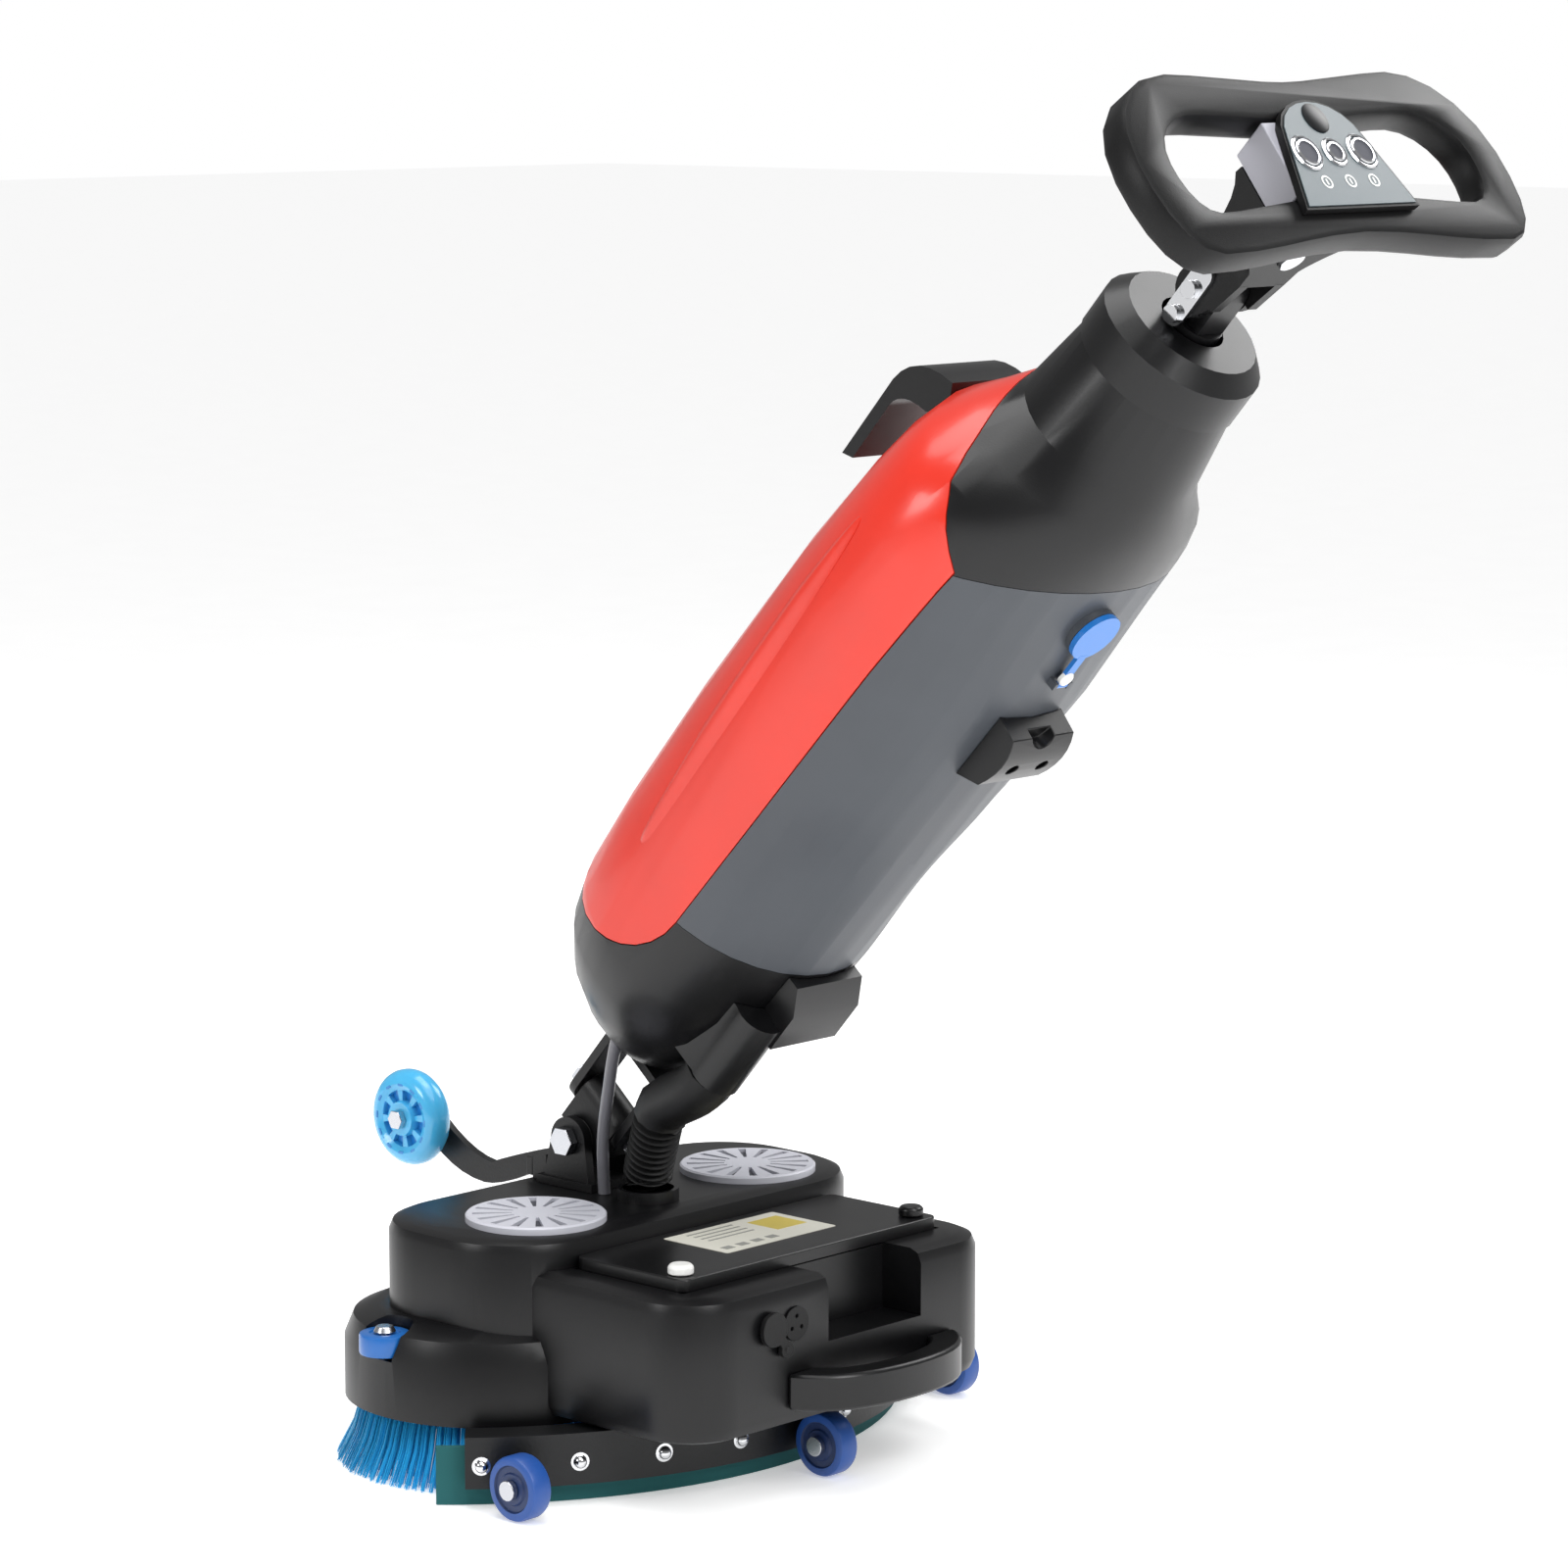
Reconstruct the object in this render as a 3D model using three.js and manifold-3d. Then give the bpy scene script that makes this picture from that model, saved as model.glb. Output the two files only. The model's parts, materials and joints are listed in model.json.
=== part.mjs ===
// A compact walk-behind floor scrubber, in millimetres, +Z up, +Y the way it travels.
// Its origin is on the floor, under the middle of the whole machine.
import * as THREE from "three";
import { mergeVertices } from "three/addons/utils/BufferGeometryUtils.js";
import Module from "manifold-3d";

const wasm = await Module();
wasm.setup();

// ---------------------------------------------------------------- driving dimensions
const GAP = 0.4; // between pieces that touch
const RUN = 0.3; // radial clearance of a turning or sliding piece
const ROUND = 24; // sides of a small round piece
const FLAT = 1; // half the straight run left at each end of the outline round both brushes

// scrubbing head
const BRUSH = { x: 115, y: 34, tip: 114.4, root: 97, eye: 46, length: 48, disc: 99, discThick: 8 };
const HUB = { boss: 36, bossDrop: 12, nut: 14, nutDrop: 8, shaft: 12, shaftRise: 30 };
const SKIRT = { reach: 106, bottom: 46, crease: 86, top: 110, wall: 3.5 };
const HUMP = { halfWidth: 187, front: 106, rear: -60, top: 172, corner: 66, edge: 9 };
const BLOCK = { halfWidth: 159, rear: -200, front: 10, bottom: 50.5, top: 151, corner: 45, edge: 10 };
const BAY = { halfWidth: 118, rear: -158, front: -66, floor: 58 };
const RECESS = { left: -24, right: 72, rearDepth: 42, floor: 104 };
const PLATE = { bottom: 67, thick: 4, shaftHole: 16 };
const FAN = { x: 108, y: 0, radius: 49.5, thick: 5, spigot: 40 };
const MOTOR = { radius: 39, height: 66, caseHeight: 20, caseWide: 92, caseLong: 112 };
const LID = { halfWidth: 131, rear: -165, thick: 8.5, corner: 8 };
const KNOB = { x: 118, y: -150, radius: 9, height: 7, shank: 3, shankDeep: 13 };
const CARRY = { x: 20, halfSpan: 86, bow: 42, bar: 20, bottom: 63, height: 26 };
const SOCKET = { x: -58, z: 123, radius: 12, deep: 22, proud: 2, pin: 1.6, pinRing: 5.5 };
const CAP = { radius: 12, thick: 4, arm: 20, openAngle: 128, closedAngle: 48, screw: 3 };
const BUMPER = {
  x: 211, y: 45, radius: 18, height: 15, bottom: 88,
  pin: 3.5, head: 8, headHigh: 4, pocket: 20,
};
const SPIGOT = { x: -10, y: -14, radius: 22, height: 9, wall: 3.5 };

// squeegee, on an arc whose centre is ahead of it
const ARC = { y: 175.6, outer: 325, inner: 300, endX: 230, bottom: 14, top: 50, wall: 8, roof: 7 };
const BLADE = { inner: 310, thick: 4, endX: 236, top: 41 };
const CASTER = { radius: 22.5, width: 17, sideX: 221, ring: 352, hub: 11, bolt: 4, head: 7, headHigh: 4.5 };
const LUG = { thick: 5, standoff: 2.5, high: 20, tail: 9 };

// tipping wheel in front of the joint
const TIP = {
  y: 242, z: 193, radius: 36, width: 24, hub: 12,
  lip: 26, dish: 4, bolt: 4, head: 7.5, headHigh: 5,
};
const ARM = { thick: 6, standoff: 3, wide: 22, footLow: 174.5, footHigh: 192, dipY: 180, dip: 150 };

// joint between head and upright
const PIVOT = { y: 53, z: 207 };
const LEAN = 41.4; // degrees back from vertical, as parked
const YOKE = {
  base: 6, baseHalf: 26, baseRear: 27, baseFront: 93,
  toe: 20, cheekGap: 17, cheek: 7, round: 17,
};
const CROSS = { half: 16, depth: 22, rollRise: 30, rollRound: 14, low: 15 };
const PIN = { radius: 6, head: 11, headHigh: 7 };
const STRAP = { clear: 1.5, thick: 7, halfWide: 16 };

// upright body: sections across its own axis, by height above the body datum
// Of the body datum from the joint's pivot, along the upright's own axes.
const DATUM = { rise: 77.5, back: 1.3 };
const SECTIONS = [
  // height, half width, half depth, forward offset of the middle
  [17, 26, 24, 8],
  [25, 40, 36, 11],
  [40, 58, 52, 15],
  [62, 77, 70, 18],
  [92, 93, 85, 19],
  [125, 101, 93, 19],
  [190, 106, 96, 19],
  [300, 114, 97, 17],
  [450, 126, 95, 11],
  [530, 130, 88, 9],
  [570, 126, 85, 6],
  [592, 115, 82, 4],
  [612, 90, 74, -2],
  [636, 66, 64, -7],
  [694, 56, 56, -7],
];
const WALL = 3;
const BASE_SEAM = 185; // height of the seam between base housing and solution tank
const TOP_SEAM = { height: 532, slope: -0.4 };
const SIDE_SEAM = { lowY: -12, highY: -35, high: 548 };
const RED_TOP = { midY: 2, mid: 598, frontY: 78, front: 655 };
const RED_LOW = { midY: -8, mid: 122, frontY: 78, front: 114 };
const COLLAR = { radius: 58, height: 28, top: 12, topRadius: 47, back: -7, bore: 23 };
const STEM = { radius: 20, low: 640, eyeHalf: 13, eyeRound: 15, fold: 764, shoulder: 26 };
const GRIP = { low: 492, high: 590, halfWide: 38, stand: 27, thick: 9 };
const HOOK = { low: 404, high: 454, halfWide: 31, stand: 23, screw: 5, screwX: 15 };
const VENT = { halfWide: 33, low: 131, high: 164, y: -93, hoodHigh: 196, hoodY: -82 };
const DUCT = { x: -38, y: -73, half: 17, low: 82, high: 148 };
const VACUUM = { x: 4, radius: 46, low: 62, high: 118, nose: 20, noseLow: 40 };
const PUMP = { x: 66, half: 13, low: 78, high: 114 };
const FILL = {
  height: 528, radius: 17, flange: 19, thick: 4, plug: 14,
  plugDeep: 7, anchor: 44, barrel: 2.6, strap: 5,
};
const INLET = { height: 500, radius: 22 };

// hoses, in machine coordinates
const HOSE = { radius: 18, bore: 14, cuff: 19.5 };
const TUBE = { radius: 4.5 };

// handle, on its own tilted plane
const HANDLE = { y: -581, z: 906, tilt: 53.5, low: -9, high: 15, bevel: 5 };
const BOX = { topHalf: 46, lowHalf: 34, rear: -22.5, front: 30, bottom: -20 };
const NECK = { wide: 105, flare: 58, waist: 25, flareN: -36, waistN: -60, foot: -73, rear: -30, front: 2 };
const FORK = { gap: 14, cheek: 9, round: 16 };
const PANEL = { thick: 6, rearHalf: 51, frontHalf: 36, rear: -34, front: 12, noseRise: 34 };
const BUTTON = { x: 28, v: 2, side: 10, middle: 7.5, height: 9, travel: 1.2 };
const RELEASE = { n: -44, radius: 9, height: 10, travel: 4 };
const LINK = { thick: 3.5, half: 8, pitch: 21, rise: 20, bolt: 4.5, head: 3.5, headHigh: 4 };

const rad = THREE.MathUtils.degToRad;

// ---------------------------------------------------------------- shapes and solids
const FINISH = {
  shell: { color: 0x1c1c1f, roughness: 0.45, metalness: 0 },
  steel: { color: 0x1b1b1d, roughness: 0.5, metalness: 0.3 },
  bright: { color: 0xc8c9cc, roughness: 0.25, metalness: 1 },
  red: { color: 0xe8402e, roughness: 0.35, metalness: 0 },
  grey: { color: 0x4f5256, roughness: 0.5, metalness: 0 },
  pale: { color: 0xc9cad3, roughness: 0.5, metalness: 0 },
  blue: { color: 0x2f63b0, roughness: 0.4, metalness: 0 },
  sky: { color: 0x2e8bdc, roughness: 0.4, metalness: 0 },
  ice: { color: 0x5fc3ee, roughness: 0.3, metalness: 0 },
  bristle: { color: 0x1e9bd0, roughness: 0.6, metalness: 0 },
  rubber: { color: 0x141416, roughness: 0.8, metalness: 0 },
  teal: { color: 0x12585a, roughness: 0.6, metalness: 0 },
  slate: { color: 0x4f5b60, roughness: 0.5, metalness: 0 },
  mist: { color: 0xa9a9b2, roughness: 0.5, metalness: 0 },
  white: { color: 0xf0f0ee, roughness: 0.5, metalness: 0 },
};

// A closed geometry as a manifold-3d solid.
function solid(geometry) {
  const bare = geometry.clone();
  bare.deleteAttribute("normal");
  bare.deleteAttribute("uv");
  const merged = mergeVertices(bare, 1e-3);
  const mesh = new wasm.Mesh({
    numProp: 3,
    vertProperties: new Float32Array(merged.attributes.position.array),
    triVerts: new Uint32Array(merged.index.array),
  });
  return new wasm.Manifold(mesh);
}

// The geometry of a manifold-3d solid.
function surface(body) {
  const mesh = body.getMesh();
  const geometry = new THREE.BufferGeometry();
  geometry.setAttribute("position", new THREE.BufferAttribute(mesh.vertProperties, 3));
  geometry.setIndex(new THREE.BufferAttribute(mesh.triVerts, 1));
  return geometry;
}

// Adds one named piece to a group.
function piece(group, name, body, finish) {
  const geometry = body.isBufferGeometry ? body : surface(body);
  const mesh = new THREE.Mesh(geometry, new THREE.MeshStandardMaterial(FINISH[finish]));
  mesh.name = name;
  group.add(mesh);
  return mesh;
}

const union = (...bodies) => bodies.reduce((sum, body) => sum.add(body));
const minus = (body, ...cuts) => cuts.reduce((rest, cut) => rest.subtract(cut), body);

// A box from its lowest to its highest corner.
function box(x0, x1, y0, y1, z0, z1) {
  const geometry = new THREE.BoxGeometry(x1 - x0, y1 - y0, z1 - z0);
  return solid(geometry.translate((x0 + x1) / 2, (y0 + y1) / 2, (z0 + z1) / 2));
}

// A solid turned about Z from an outline of [radius, height] points that goes up its outer side.
function turned(outline, sides = ROUND) {
  const points = outline.map(([radius, height]) => new THREE.Vector2(radius, height));
  return solid(new THREE.LatheGeometry(points, sides).rotateX(Math.PI / 2));
}

// A straight round bar about Z, from one height to another.
function bar(radius, z0, z1, sides = ROUND) {
  return turned([[0, z0], [radius, z0], [radius, z1], [0, z1]], sides);
}

// The same along X or Y, through a given point.
function barX(radius, x0, x1, y, z, sides = ROUND) {
  return bar(radius, x0, x1, sides).rotate([0, 90, 0]).translate([0, y, z]);
}

function barY(radius, y0, y1, x, z, sides = ROUND) {
  return bar(radius, -y1, -y0, sides).rotate([90, 0, 0]).translate([x, 0, z]);
}

// A flat outline pushed up from z0 to z1, with an edge round on both faces or none.
function slab(shape, z0, z1, edge = 0, curveSegments = 8) {
  const settings = {
    depth: z1 - z0 - 2 * edge,
    curveSegments,
    bevelEnabled: edge > 0,
    bevelThickness: edge,
    bevelSize: edge,
    bevelOffset: -edge,
    bevelSegments: 2,
  };
  return solid(new THREE.ExtrudeGeometry(shape, settings).translate(0, 0, z0 + edge));
}

// An outline drawn in the YZ plane, pushed from x0 to x1.
function sideSlab(shape, x0, x1, curveSegments = 8) {
  return slab(shape, x0, x1, 0, curveSegments).rotate([90, 0, 90]);
}

// A rectangle with round corners, from its left, right, rear and front edges.
function roundRect(x0, x1, y0, y1, radius) {
  const shape = new THREE.Shape();
  shape.moveTo(x0 + radius, y0);
  shape.lineTo(x1 - radius, y0);
  shape.absarc(x1 - radius, y0 + radius, radius, -Math.PI / 2, 0, false);
  shape.lineTo(x1, y1 - radius);
  shape.absarc(x1 - radius, y1 - radius, radius, 0, Math.PI / 2, false);
  shape.lineTo(x0 + radius, y1);
  shape.absarc(x0 + radius, y1 - radius, radius, Math.PI / 2, Math.PI, false);
  shape.lineTo(x0, y0 + radius);
  shape.absarc(x0 + radius, y0 + radius, radius, Math.PI, 1.5 * Math.PI, false);
  return shape;
}

// The outline that goes round both brushes at one distance from their axes.
function twinOutline(reach) {
  return roundRect(-BRUSH.x - reach, BRUSH.x + reach, BRUSH.y - reach, BRUSH.y + reach, reach - FLAT);
}

// A part of a ring about the squeegee's arc centre, from one height to another.
function arcWall(inner, outer, endX, z0, z1) {
  const half = Math.asin(endX / outer);
  const shape = new THREE.Shape();
  shape.absarc(0, 0, outer, -Math.PI / 2 - half, -Math.PI / 2 + half, false);
  shape.absarc(0, 0, inner, -Math.PI / 2 + half, -Math.PI / 2 - half, true);
  return slab(shape, z0, z1, 0, 16).translate([0, ARC.y, 0]);
}

// A tube or rod along a smooth route through [x, y, z] points.
function swept(route, radius, steps, sides = 10, bore = 0) {
  const curve = new THREE.CatmullRomCurve3(route.map((point) => new THREE.Vector3(...point)));
  const shape = new THREE.Shape();
  shape.absarc(0, 0, radius, 0, 2 * Math.PI, false);
  if (bore > 0) {
    const hole = new THREE.Path();
    hole.absarc(0, 0, bore, 0, 2 * Math.PI, true);
    shape.holes.push(hole);
  }
  return solid(new THREE.ExtrudeGeometry(shape, { extrudePath: curve, steps, curveSegments: sides }));
}

// The upright's own outer form, larger by `grow` all round, between two of its heights.
function bodyForm(grow, from, to, sides = 32) {
  const inside = SECTIONS.filter(([height]) => height > from && height < to);
  const stations = [sectionAt(from), ...inside, sectionAt(to)];
  const outline = stations.map((_, row) => new THREE.Vector2(1, row));
  outline.unshift(new THREE.Vector2(0, 0));
  outline.push(new THREE.Vector2(0, stations.length - 1));
  const geometry = new THREE.LatheGeometry(outline, sides);
  const place = geometry.attributes.position;
  for (let index = 0; index < place.count; index += 1) {
    const [height, halfWidth, halfDepth, offset] = stations[Math.round(place.getY(index))];
    const reach = Math.hypot(place.getX(index), place.getZ(index));
    const x = place.getX(index) * (halfWidth + grow);
    const y = -place.getZ(index) * (halfDepth + grow) + (reach > 0 ? offset : 0);
    place.setXYZ(index, x, y, height);
  }
  return solid(geometry);
}

// One section of the upright at any height, straight between the listed ones.
function sectionAt(height) {
  const above = SECTIONS.findIndex((row) => row[0] >= height);
  if (above <= 0) return [height, ...SECTIONS[Math.max(above, 0)].slice(1)];
  const low = SECTIONS[above - 1];
  const high = SECTIONS[above];
  const share = (height - low[0]) / (high[0] - low[0]);
  return low.map((value, column) => value + share * (high[column] - value));
}

// ---------------------------------------------------------------- seams of the upright, in its side view
const FAR = 400; // past every side of the upright

// The front tank's outline in the side view, drawn in by `inset` on every side.
function redOutline(inset) {
  const shape = new THREE.Shape();
  shape.moveTo(SIDE_SEAM.lowY + inset, BASE_SEAM);
  shape.quadraticCurveTo(RED_LOW.midY + inset, RED_LOW.mid + inset, RED_LOW.frontY, RED_LOW.front + inset);
  shape.lineTo(FAR, RED_LOW.front + inset);
  shape.lineTo(FAR, RED_TOP.front + FAR / 2);
  shape.lineTo(RED_TOP.frontY + FAR / 4 + inset, RED_TOP.front + FAR / 4 - inset);
  shape.lineTo(RED_TOP.frontY + inset, RED_TOP.front - inset);
  shape.quadraticCurveTo(RED_TOP.midY + inset, RED_TOP.mid - inset, SIDE_SEAM.highY + inset, SIDE_SEAM.high);
  return shape;
}

// Everything behind the side seam and above the base seam, up to the slanted top seam.
function greyOutline(inset) {
  const rise = (y) => TOP_SEAM.height + TOP_SEAM.slope * y - inset;
  const shape = new THREE.Shape();
  shape.moveTo(-FAR, BASE_SEAM + inset);
  shape.lineTo(SIDE_SEAM.lowY - inset, BASE_SEAM + inset);
  shape.lineTo(SIDE_SEAM.highY - inset, rise(SIDE_SEAM.highY));
  shape.lineTo(-FAR, rise(-FAR));
  return shape;
}

// Everything over the slanted top seam.
function highOutline(drop) {
  const rise = (y) => TOP_SEAM.height + TOP_SEAM.slope * y - drop;
  const shape = new THREE.Shape();
  shape.moveTo(-FAR, rise(-FAR));
  shape.lineTo(FAR, rise(FAR));
  shape.lineTo(FAR, 2 * FAR + rise(-FAR));
  shape.lineTo(-FAR, 2 * FAR + rise(-FAR));
  return shape;
}

const across = (shape) => sideSlab(shape, -FAR, FAR);

// ---------------------------------------------------------------- scrubbing head
const overSpigot = [SPIGOT.x, SPIGOT.y, 0];
const overBumper = (side) => [side * BUMPER.x, BUMPER.y, 0];

function deckShell() {
  const skirt = slab(twinOutline(SKIRT.reach), SKIRT.bottom, SKIRT.top, 22, 9);
  const skirtFoot = slab(twinOutline(SKIRT.reach), SKIRT.bottom, SKIRT.crease, 0, 9);
  const hump = slab(humpOutline(0), SKIRT.bottom, HUMP.top, HUMP.edge, 5);
  const block = slab(blockOutline(0), BLOCK.bottom, BLOCK.top, BLOCK.edge, 5);
  const spigot = bar(SPIGOT.radius, HUMP.top - 2, HUMP.top + SPIGOT.height).translate(overSpigot);
  const bosses = [-1, 1].map((side) =>
    bar(BUMPER.pocket + 3, PLATE.bottom + PLATE.thick + 4, BUMPER.bottom + 4).translate(overBumper(side)),
  );
  const outside = union(skirt, skirtFoot, hump, block, spigot);
  const hollow = humpCut().subtract(union(...bosses));
  return minus(outside, wellCut(), hollow, bayCut(), recessCut(), ...deckHoles());
}

function humpOutline(inset) {
  const half = HUMP.halfWidth - inset;
  return roundRect(-half, half, HUMP.rear + inset, HUMP.front - inset, HUMP.corner - inset);
}

function blockOutline(inset) {
  const half = BLOCK.halfWidth - inset;
  return roundRect(-half, half, BLOCK.rear + inset, BLOCK.front - inset, BLOCK.corner - inset);
}

// The space that both brushes turn in, open at the floor.
function wellCut() {
  return slab(twinOutline(SKIRT.reach - SKIRT.wall), 0, PLATE.bottom + PLATE.thick + 3, 0, 9);
}

// The space over the chassis plate, for the motors.
function humpCut() {
  const low = PLATE.bottom;
  return slab(humpOutline(SKIRT.wall), low, HUMP.top - SKIRT.wall, 0, 5);
}

// The battery's bay, open at the top, with a ledge for its lid.
function bayCut() {
  const bay = box(-BAY.halfWidth, BAY.halfWidth, BAY.rear, BAY.front, BAY.floor, BLOCK.top + 1);
  const lidTop = BLOCK.top + GAP + LID.thick;
  const rim = LID.halfWidth + GAP;
  const ledge = box(-rim, rim, LID.rear - GAP, HUMP.rear - GAP, BLOCK.top - 1, lidTop + 1);
  return union(bay, ledge);
}

// The hand recess in the rear face, to reach the carry handle.
function recessCut() {
  const front = BLOCK.rear + RECESS.rearDepth - 2;
  return box(RECESS.left, RECESS.right, BLOCK.rear - 1, front - 4, RECESS.floor, BLOCK.top + 1);
}

function deckHoles() {
  const cuts = [];
  for (const side of [-1, 1]) {
    cuts.push(bar(FAN.spigot + 1, HUMP.top - 8, HUMP.top + 1).translate([side * FAN.x, FAN.y, 0]));
    cuts.push(bar(BUMPER.pocket, BUMPER.bottom - 2, SKIRT.top + 8).translate(overBumper(side)));
    cuts.push(bar(BUMPER.pin + RUN, SKIRT.crease - 10, BUMPER.bottom).translate(overBumper(side)));
    cuts.push(bar(KNOB.shank + 1.5, BLOCK.top - 8, BLOCK.top + 1, 12).translate([side * KNOB.x, KNOB.y, 0]));
  }
  const rim = HUMP.top + SPIGOT.height;
  cuts.push(bar(SPIGOT.radius - SPIGOT.wall, HUMP.top - 8, rim + 1).translate(overSpigot));
  cuts.push(barY(SOCKET.radius - 1, BLOCK.rear - 1, BLOCK.rear + SOCKET.deep, SOCKET.x, SOCKET.z));
  cuts.push(barY(CAP.screw + RUN, BLOCK.rear - 1, BLOCK.rear + 10, capPivot().x, capPivot().z, 12));
  return cuts;
}

function chassisPlate() {
  const high = PLATE.bottom + PLATE.thick;
  const plate = slab(twinOutline(SKIRT.reach - SKIRT.wall - 1), PLATE.bottom, high, 0, 8);
  const holes = [-1, 1].map((side) =>
    bar(PLATE.shaftHole, PLATE.bottom - 1, high + 1).translate([side * BRUSH.x, BRUSH.y, 0]),
  );
  return minus(plate, ...holes);
}

function fanCover() {
  const high = HUMP.top + GAP;
  return turned([
    [0, high - 5],
    [FAN.spigot, high - 5],
    [FAN.spigot, high],
    [FAN.radius, high],
    [FAN.radius, high + FAN.thick - 2],
    [FAN.radius - 3, high + FAN.thick],
    [0, high + FAN.thick],
  ], 28);
}

// A motor on its gear case; the case reaches over the brush's own axis.
function brushMotor(side) {
  const low = PLATE.bottom + PLATE.thick + GAP;
  const high = low + MOTOR.caseHeight;
  const midX = side * (FAN.x + BRUSH.x) / 2;
  const midY = (FAN.y + BRUSH.y) / 2;
  const halfWide = MOTOR.caseWide / 2;
  const halfLong = MOTOR.caseLong / 2;
  const outline = roundRect(-halfWide, halfWide, -halfLong, halfLong, 20);
  const gearCase = slab(outline, low, high, 0, 4).translate([midX, midY, 0]);
  const can = bar(MOTOR.radius, high - 1, high + MOTOR.height).translate([side * FAN.x, FAN.y, 0]);
  const bore = bar(HUB.shaft + RUN, low - 1, high - 3).translate([side * BRUSH.x, BRUSH.y, 0]);
  return minus(union(gearCase, can), bore);
}

function batteryPack() {
  const side = 2;
  const width = BAY.halfWidth - side;
  const outline = roundRect(-width, width, BAY.rear + side, BAY.front - side, 6);
  return slab(outline, BAY.floor + GAP, BLOCK.top - 8, 0, 3);
}

function chargeSocket() {
  const flange = barY(SOCKET.radius, BLOCK.rear - SOCKET.proud, BLOCK.rear - GAP, SOCKET.x, SOCKET.z);
  const inner = BLOCK.rear + SOCKET.deep - 2;
  const barrel = barY(SOCKET.radius - 1 - GAP, BLOCK.rear - 1, inner, SOCKET.x, SOCKET.z);
  const pins = [0, 1, 2].map((index) => {
    const turn = rad(90 + 120 * index);
    const x = SOCKET.x + SOCKET.pinRing * Math.cos(turn);
    const z = SOCKET.z + SOCKET.pinRing * Math.sin(turn);
    return barY(SOCKET.pin, BLOCK.rear - SOCKET.proud - 1, BLOCK.rear + 8, x, z, 8);
  });
  return minus(union(flange, barrel), ...pins);
}

// The screw that the socket's cap swings on, as [x, z] on the rear face.
function capPivot() {
  const turn = rad(CAP.closedAngle);
  return { x: SOCKET.x - CAP.arm * Math.cos(turn), z: SOCKET.z - CAP.arm * Math.sin(turn) };
}

function socketCap() {
  const pivot = capPivot();
  const turn = rad(CAP.openAngle);
  const x = pivot.x + CAP.arm * Math.cos(turn);
  const z = pivot.z + CAP.arm * Math.sin(turn);
  const outer = BLOCK.rear - SOCKET.proud - GAP;
  const disc = barY(CAP.radius, outer - CAP.thick, outer, x, z);
  const eye = barY(6, outer - CAP.thick, outer, pivot.x, pivot.z, 16);
  const arm = box(0, CAP.arm, outer - CAP.thick, outer, -3, 3).rotate([0, -CAP.openAngle, 0]);
  const link = arm.translate([pivot.x, 0, pivot.z]);
  const screw = barY(CAP.screw, outer - CAP.thick - 1, BLOCK.rear + 8, pivot.x, pivot.z, 12);
  return union(disc, eye, link, screw);
}

function carryHandle() {
  const rear = BLOCK.rear - GAP;
  const shape = new THREE.Shape();
  shape.moveTo(-CARRY.halfSpan, 0);
  shape.quadraticCurveTo(-CARRY.halfSpan * 0.8, -CARRY.bow, 0, -CARRY.bow);
  shape.quadraticCurveTo(CARRY.halfSpan * 0.8, -CARRY.bow, CARRY.halfSpan, 0);
  shape.lineTo(CARRY.halfSpan - 1.4 * CARRY.bar, 0);
  shape.quadraticCurveTo(CARRY.halfSpan * 0.55, CARRY.bar - CARRY.bow, 0, CARRY.bar - CARRY.bow);
  shape.quadraticCurveTo(-CARRY.halfSpan * 0.55, CARRY.bar - CARRY.bow, 1.4 * CARRY.bar - CARRY.halfSpan, 0);
  return slab(shape, CARRY.bottom, CARRY.bottom + CARRY.height, 0, 8).translate([CARRY.x, rear, 0]);
}

function batteryLid() {
  const low = BLOCK.top - 1 + GAP;
  const front = HUMP.rear - 2 * GAP;
  const outline = roundRect(-LID.halfWidth, LID.halfWidth, LID.rear, front, LID.corner);
  const plate = slab(outline, low, BLOCK.top + GAP + LID.thick, 0, 4);
  const holes = [-1, 1].map((side) =>
    bar(KNOB.shank + RUN, low - 1, BLOCK.top + LID.thick + 2, 12).translate([side * KNOB.x, KNOB.y, 0]),
  );
  return minus(plate, ...holes);
}

function lidKnob(side) {
  const seat = BLOCK.top + 2 * GAP + LID.thick;
  const outline = [
    [0, seat - KNOB.shankDeep],
    [KNOB.shank, seat - KNOB.shankDeep],
    [KNOB.shank, seat],
    [KNOB.radius, seat],
    [KNOB.radius, seat + KNOB.height - 2],
    [KNOB.radius - 2, seat + KNOB.height],
    [0, seat + KNOB.height],
  ];
  return turned(outline, 16).translate([side * KNOB.x, KNOB.y, 0]);
}

function brushDisc(side) {
  const low = BRUSH.length + GAP;
  const outline = [
    [0, low - HUB.bossDrop - HUB.nutDrop],
    [HUB.nut, low - HUB.bossDrop - HUB.nutDrop],
    [HUB.nut, low - HUB.bossDrop],
    [HUB.boss, low - HUB.bossDrop + 4],
    [HUB.boss, low],
    [BRUSH.disc, low],
    [BRUSH.disc, low + BRUSH.discThick - 2],
    [HUB.boss, low + BRUSH.discThick],
    [HUB.shaft, low + BRUSH.discThick],
    [HUB.shaft, low + BRUSH.discThick + HUB.shaftRise],
    [0, low + BRUSH.discThick + HUB.shaftRise],
  ];
  return turned(outline, 28).translate([side * BRUSH.x, BRUSH.y, 0]);
}

function bristles(side) {
  const outline = [
    [BRUSH.eye, 0],
    [BRUSH.tip, 0],
    [BRUSH.root, BRUSH.length],
    [BRUSH.eye, BRUSH.length],
    [BRUSH.eye, 0],
  ];
  return turned(outline, 40).translate([side * BRUSH.x, BRUSH.y, 0]);
}

function bumperRoller(side) {
  const low = BUMPER.bottom;
  const high = low + BUMPER.height;
  const bore = BUMPER.pin + RUN;
  const rim = BUMPER.radius;
  const outline = [
    [bore, low], [rim - 2, low], [rim, low + 2],
    [rim, high - 2], [rim - 2, high], [bore, high], [bore, low],
  ];
  return turned(outline).translate(overBumper(side));
}

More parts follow.
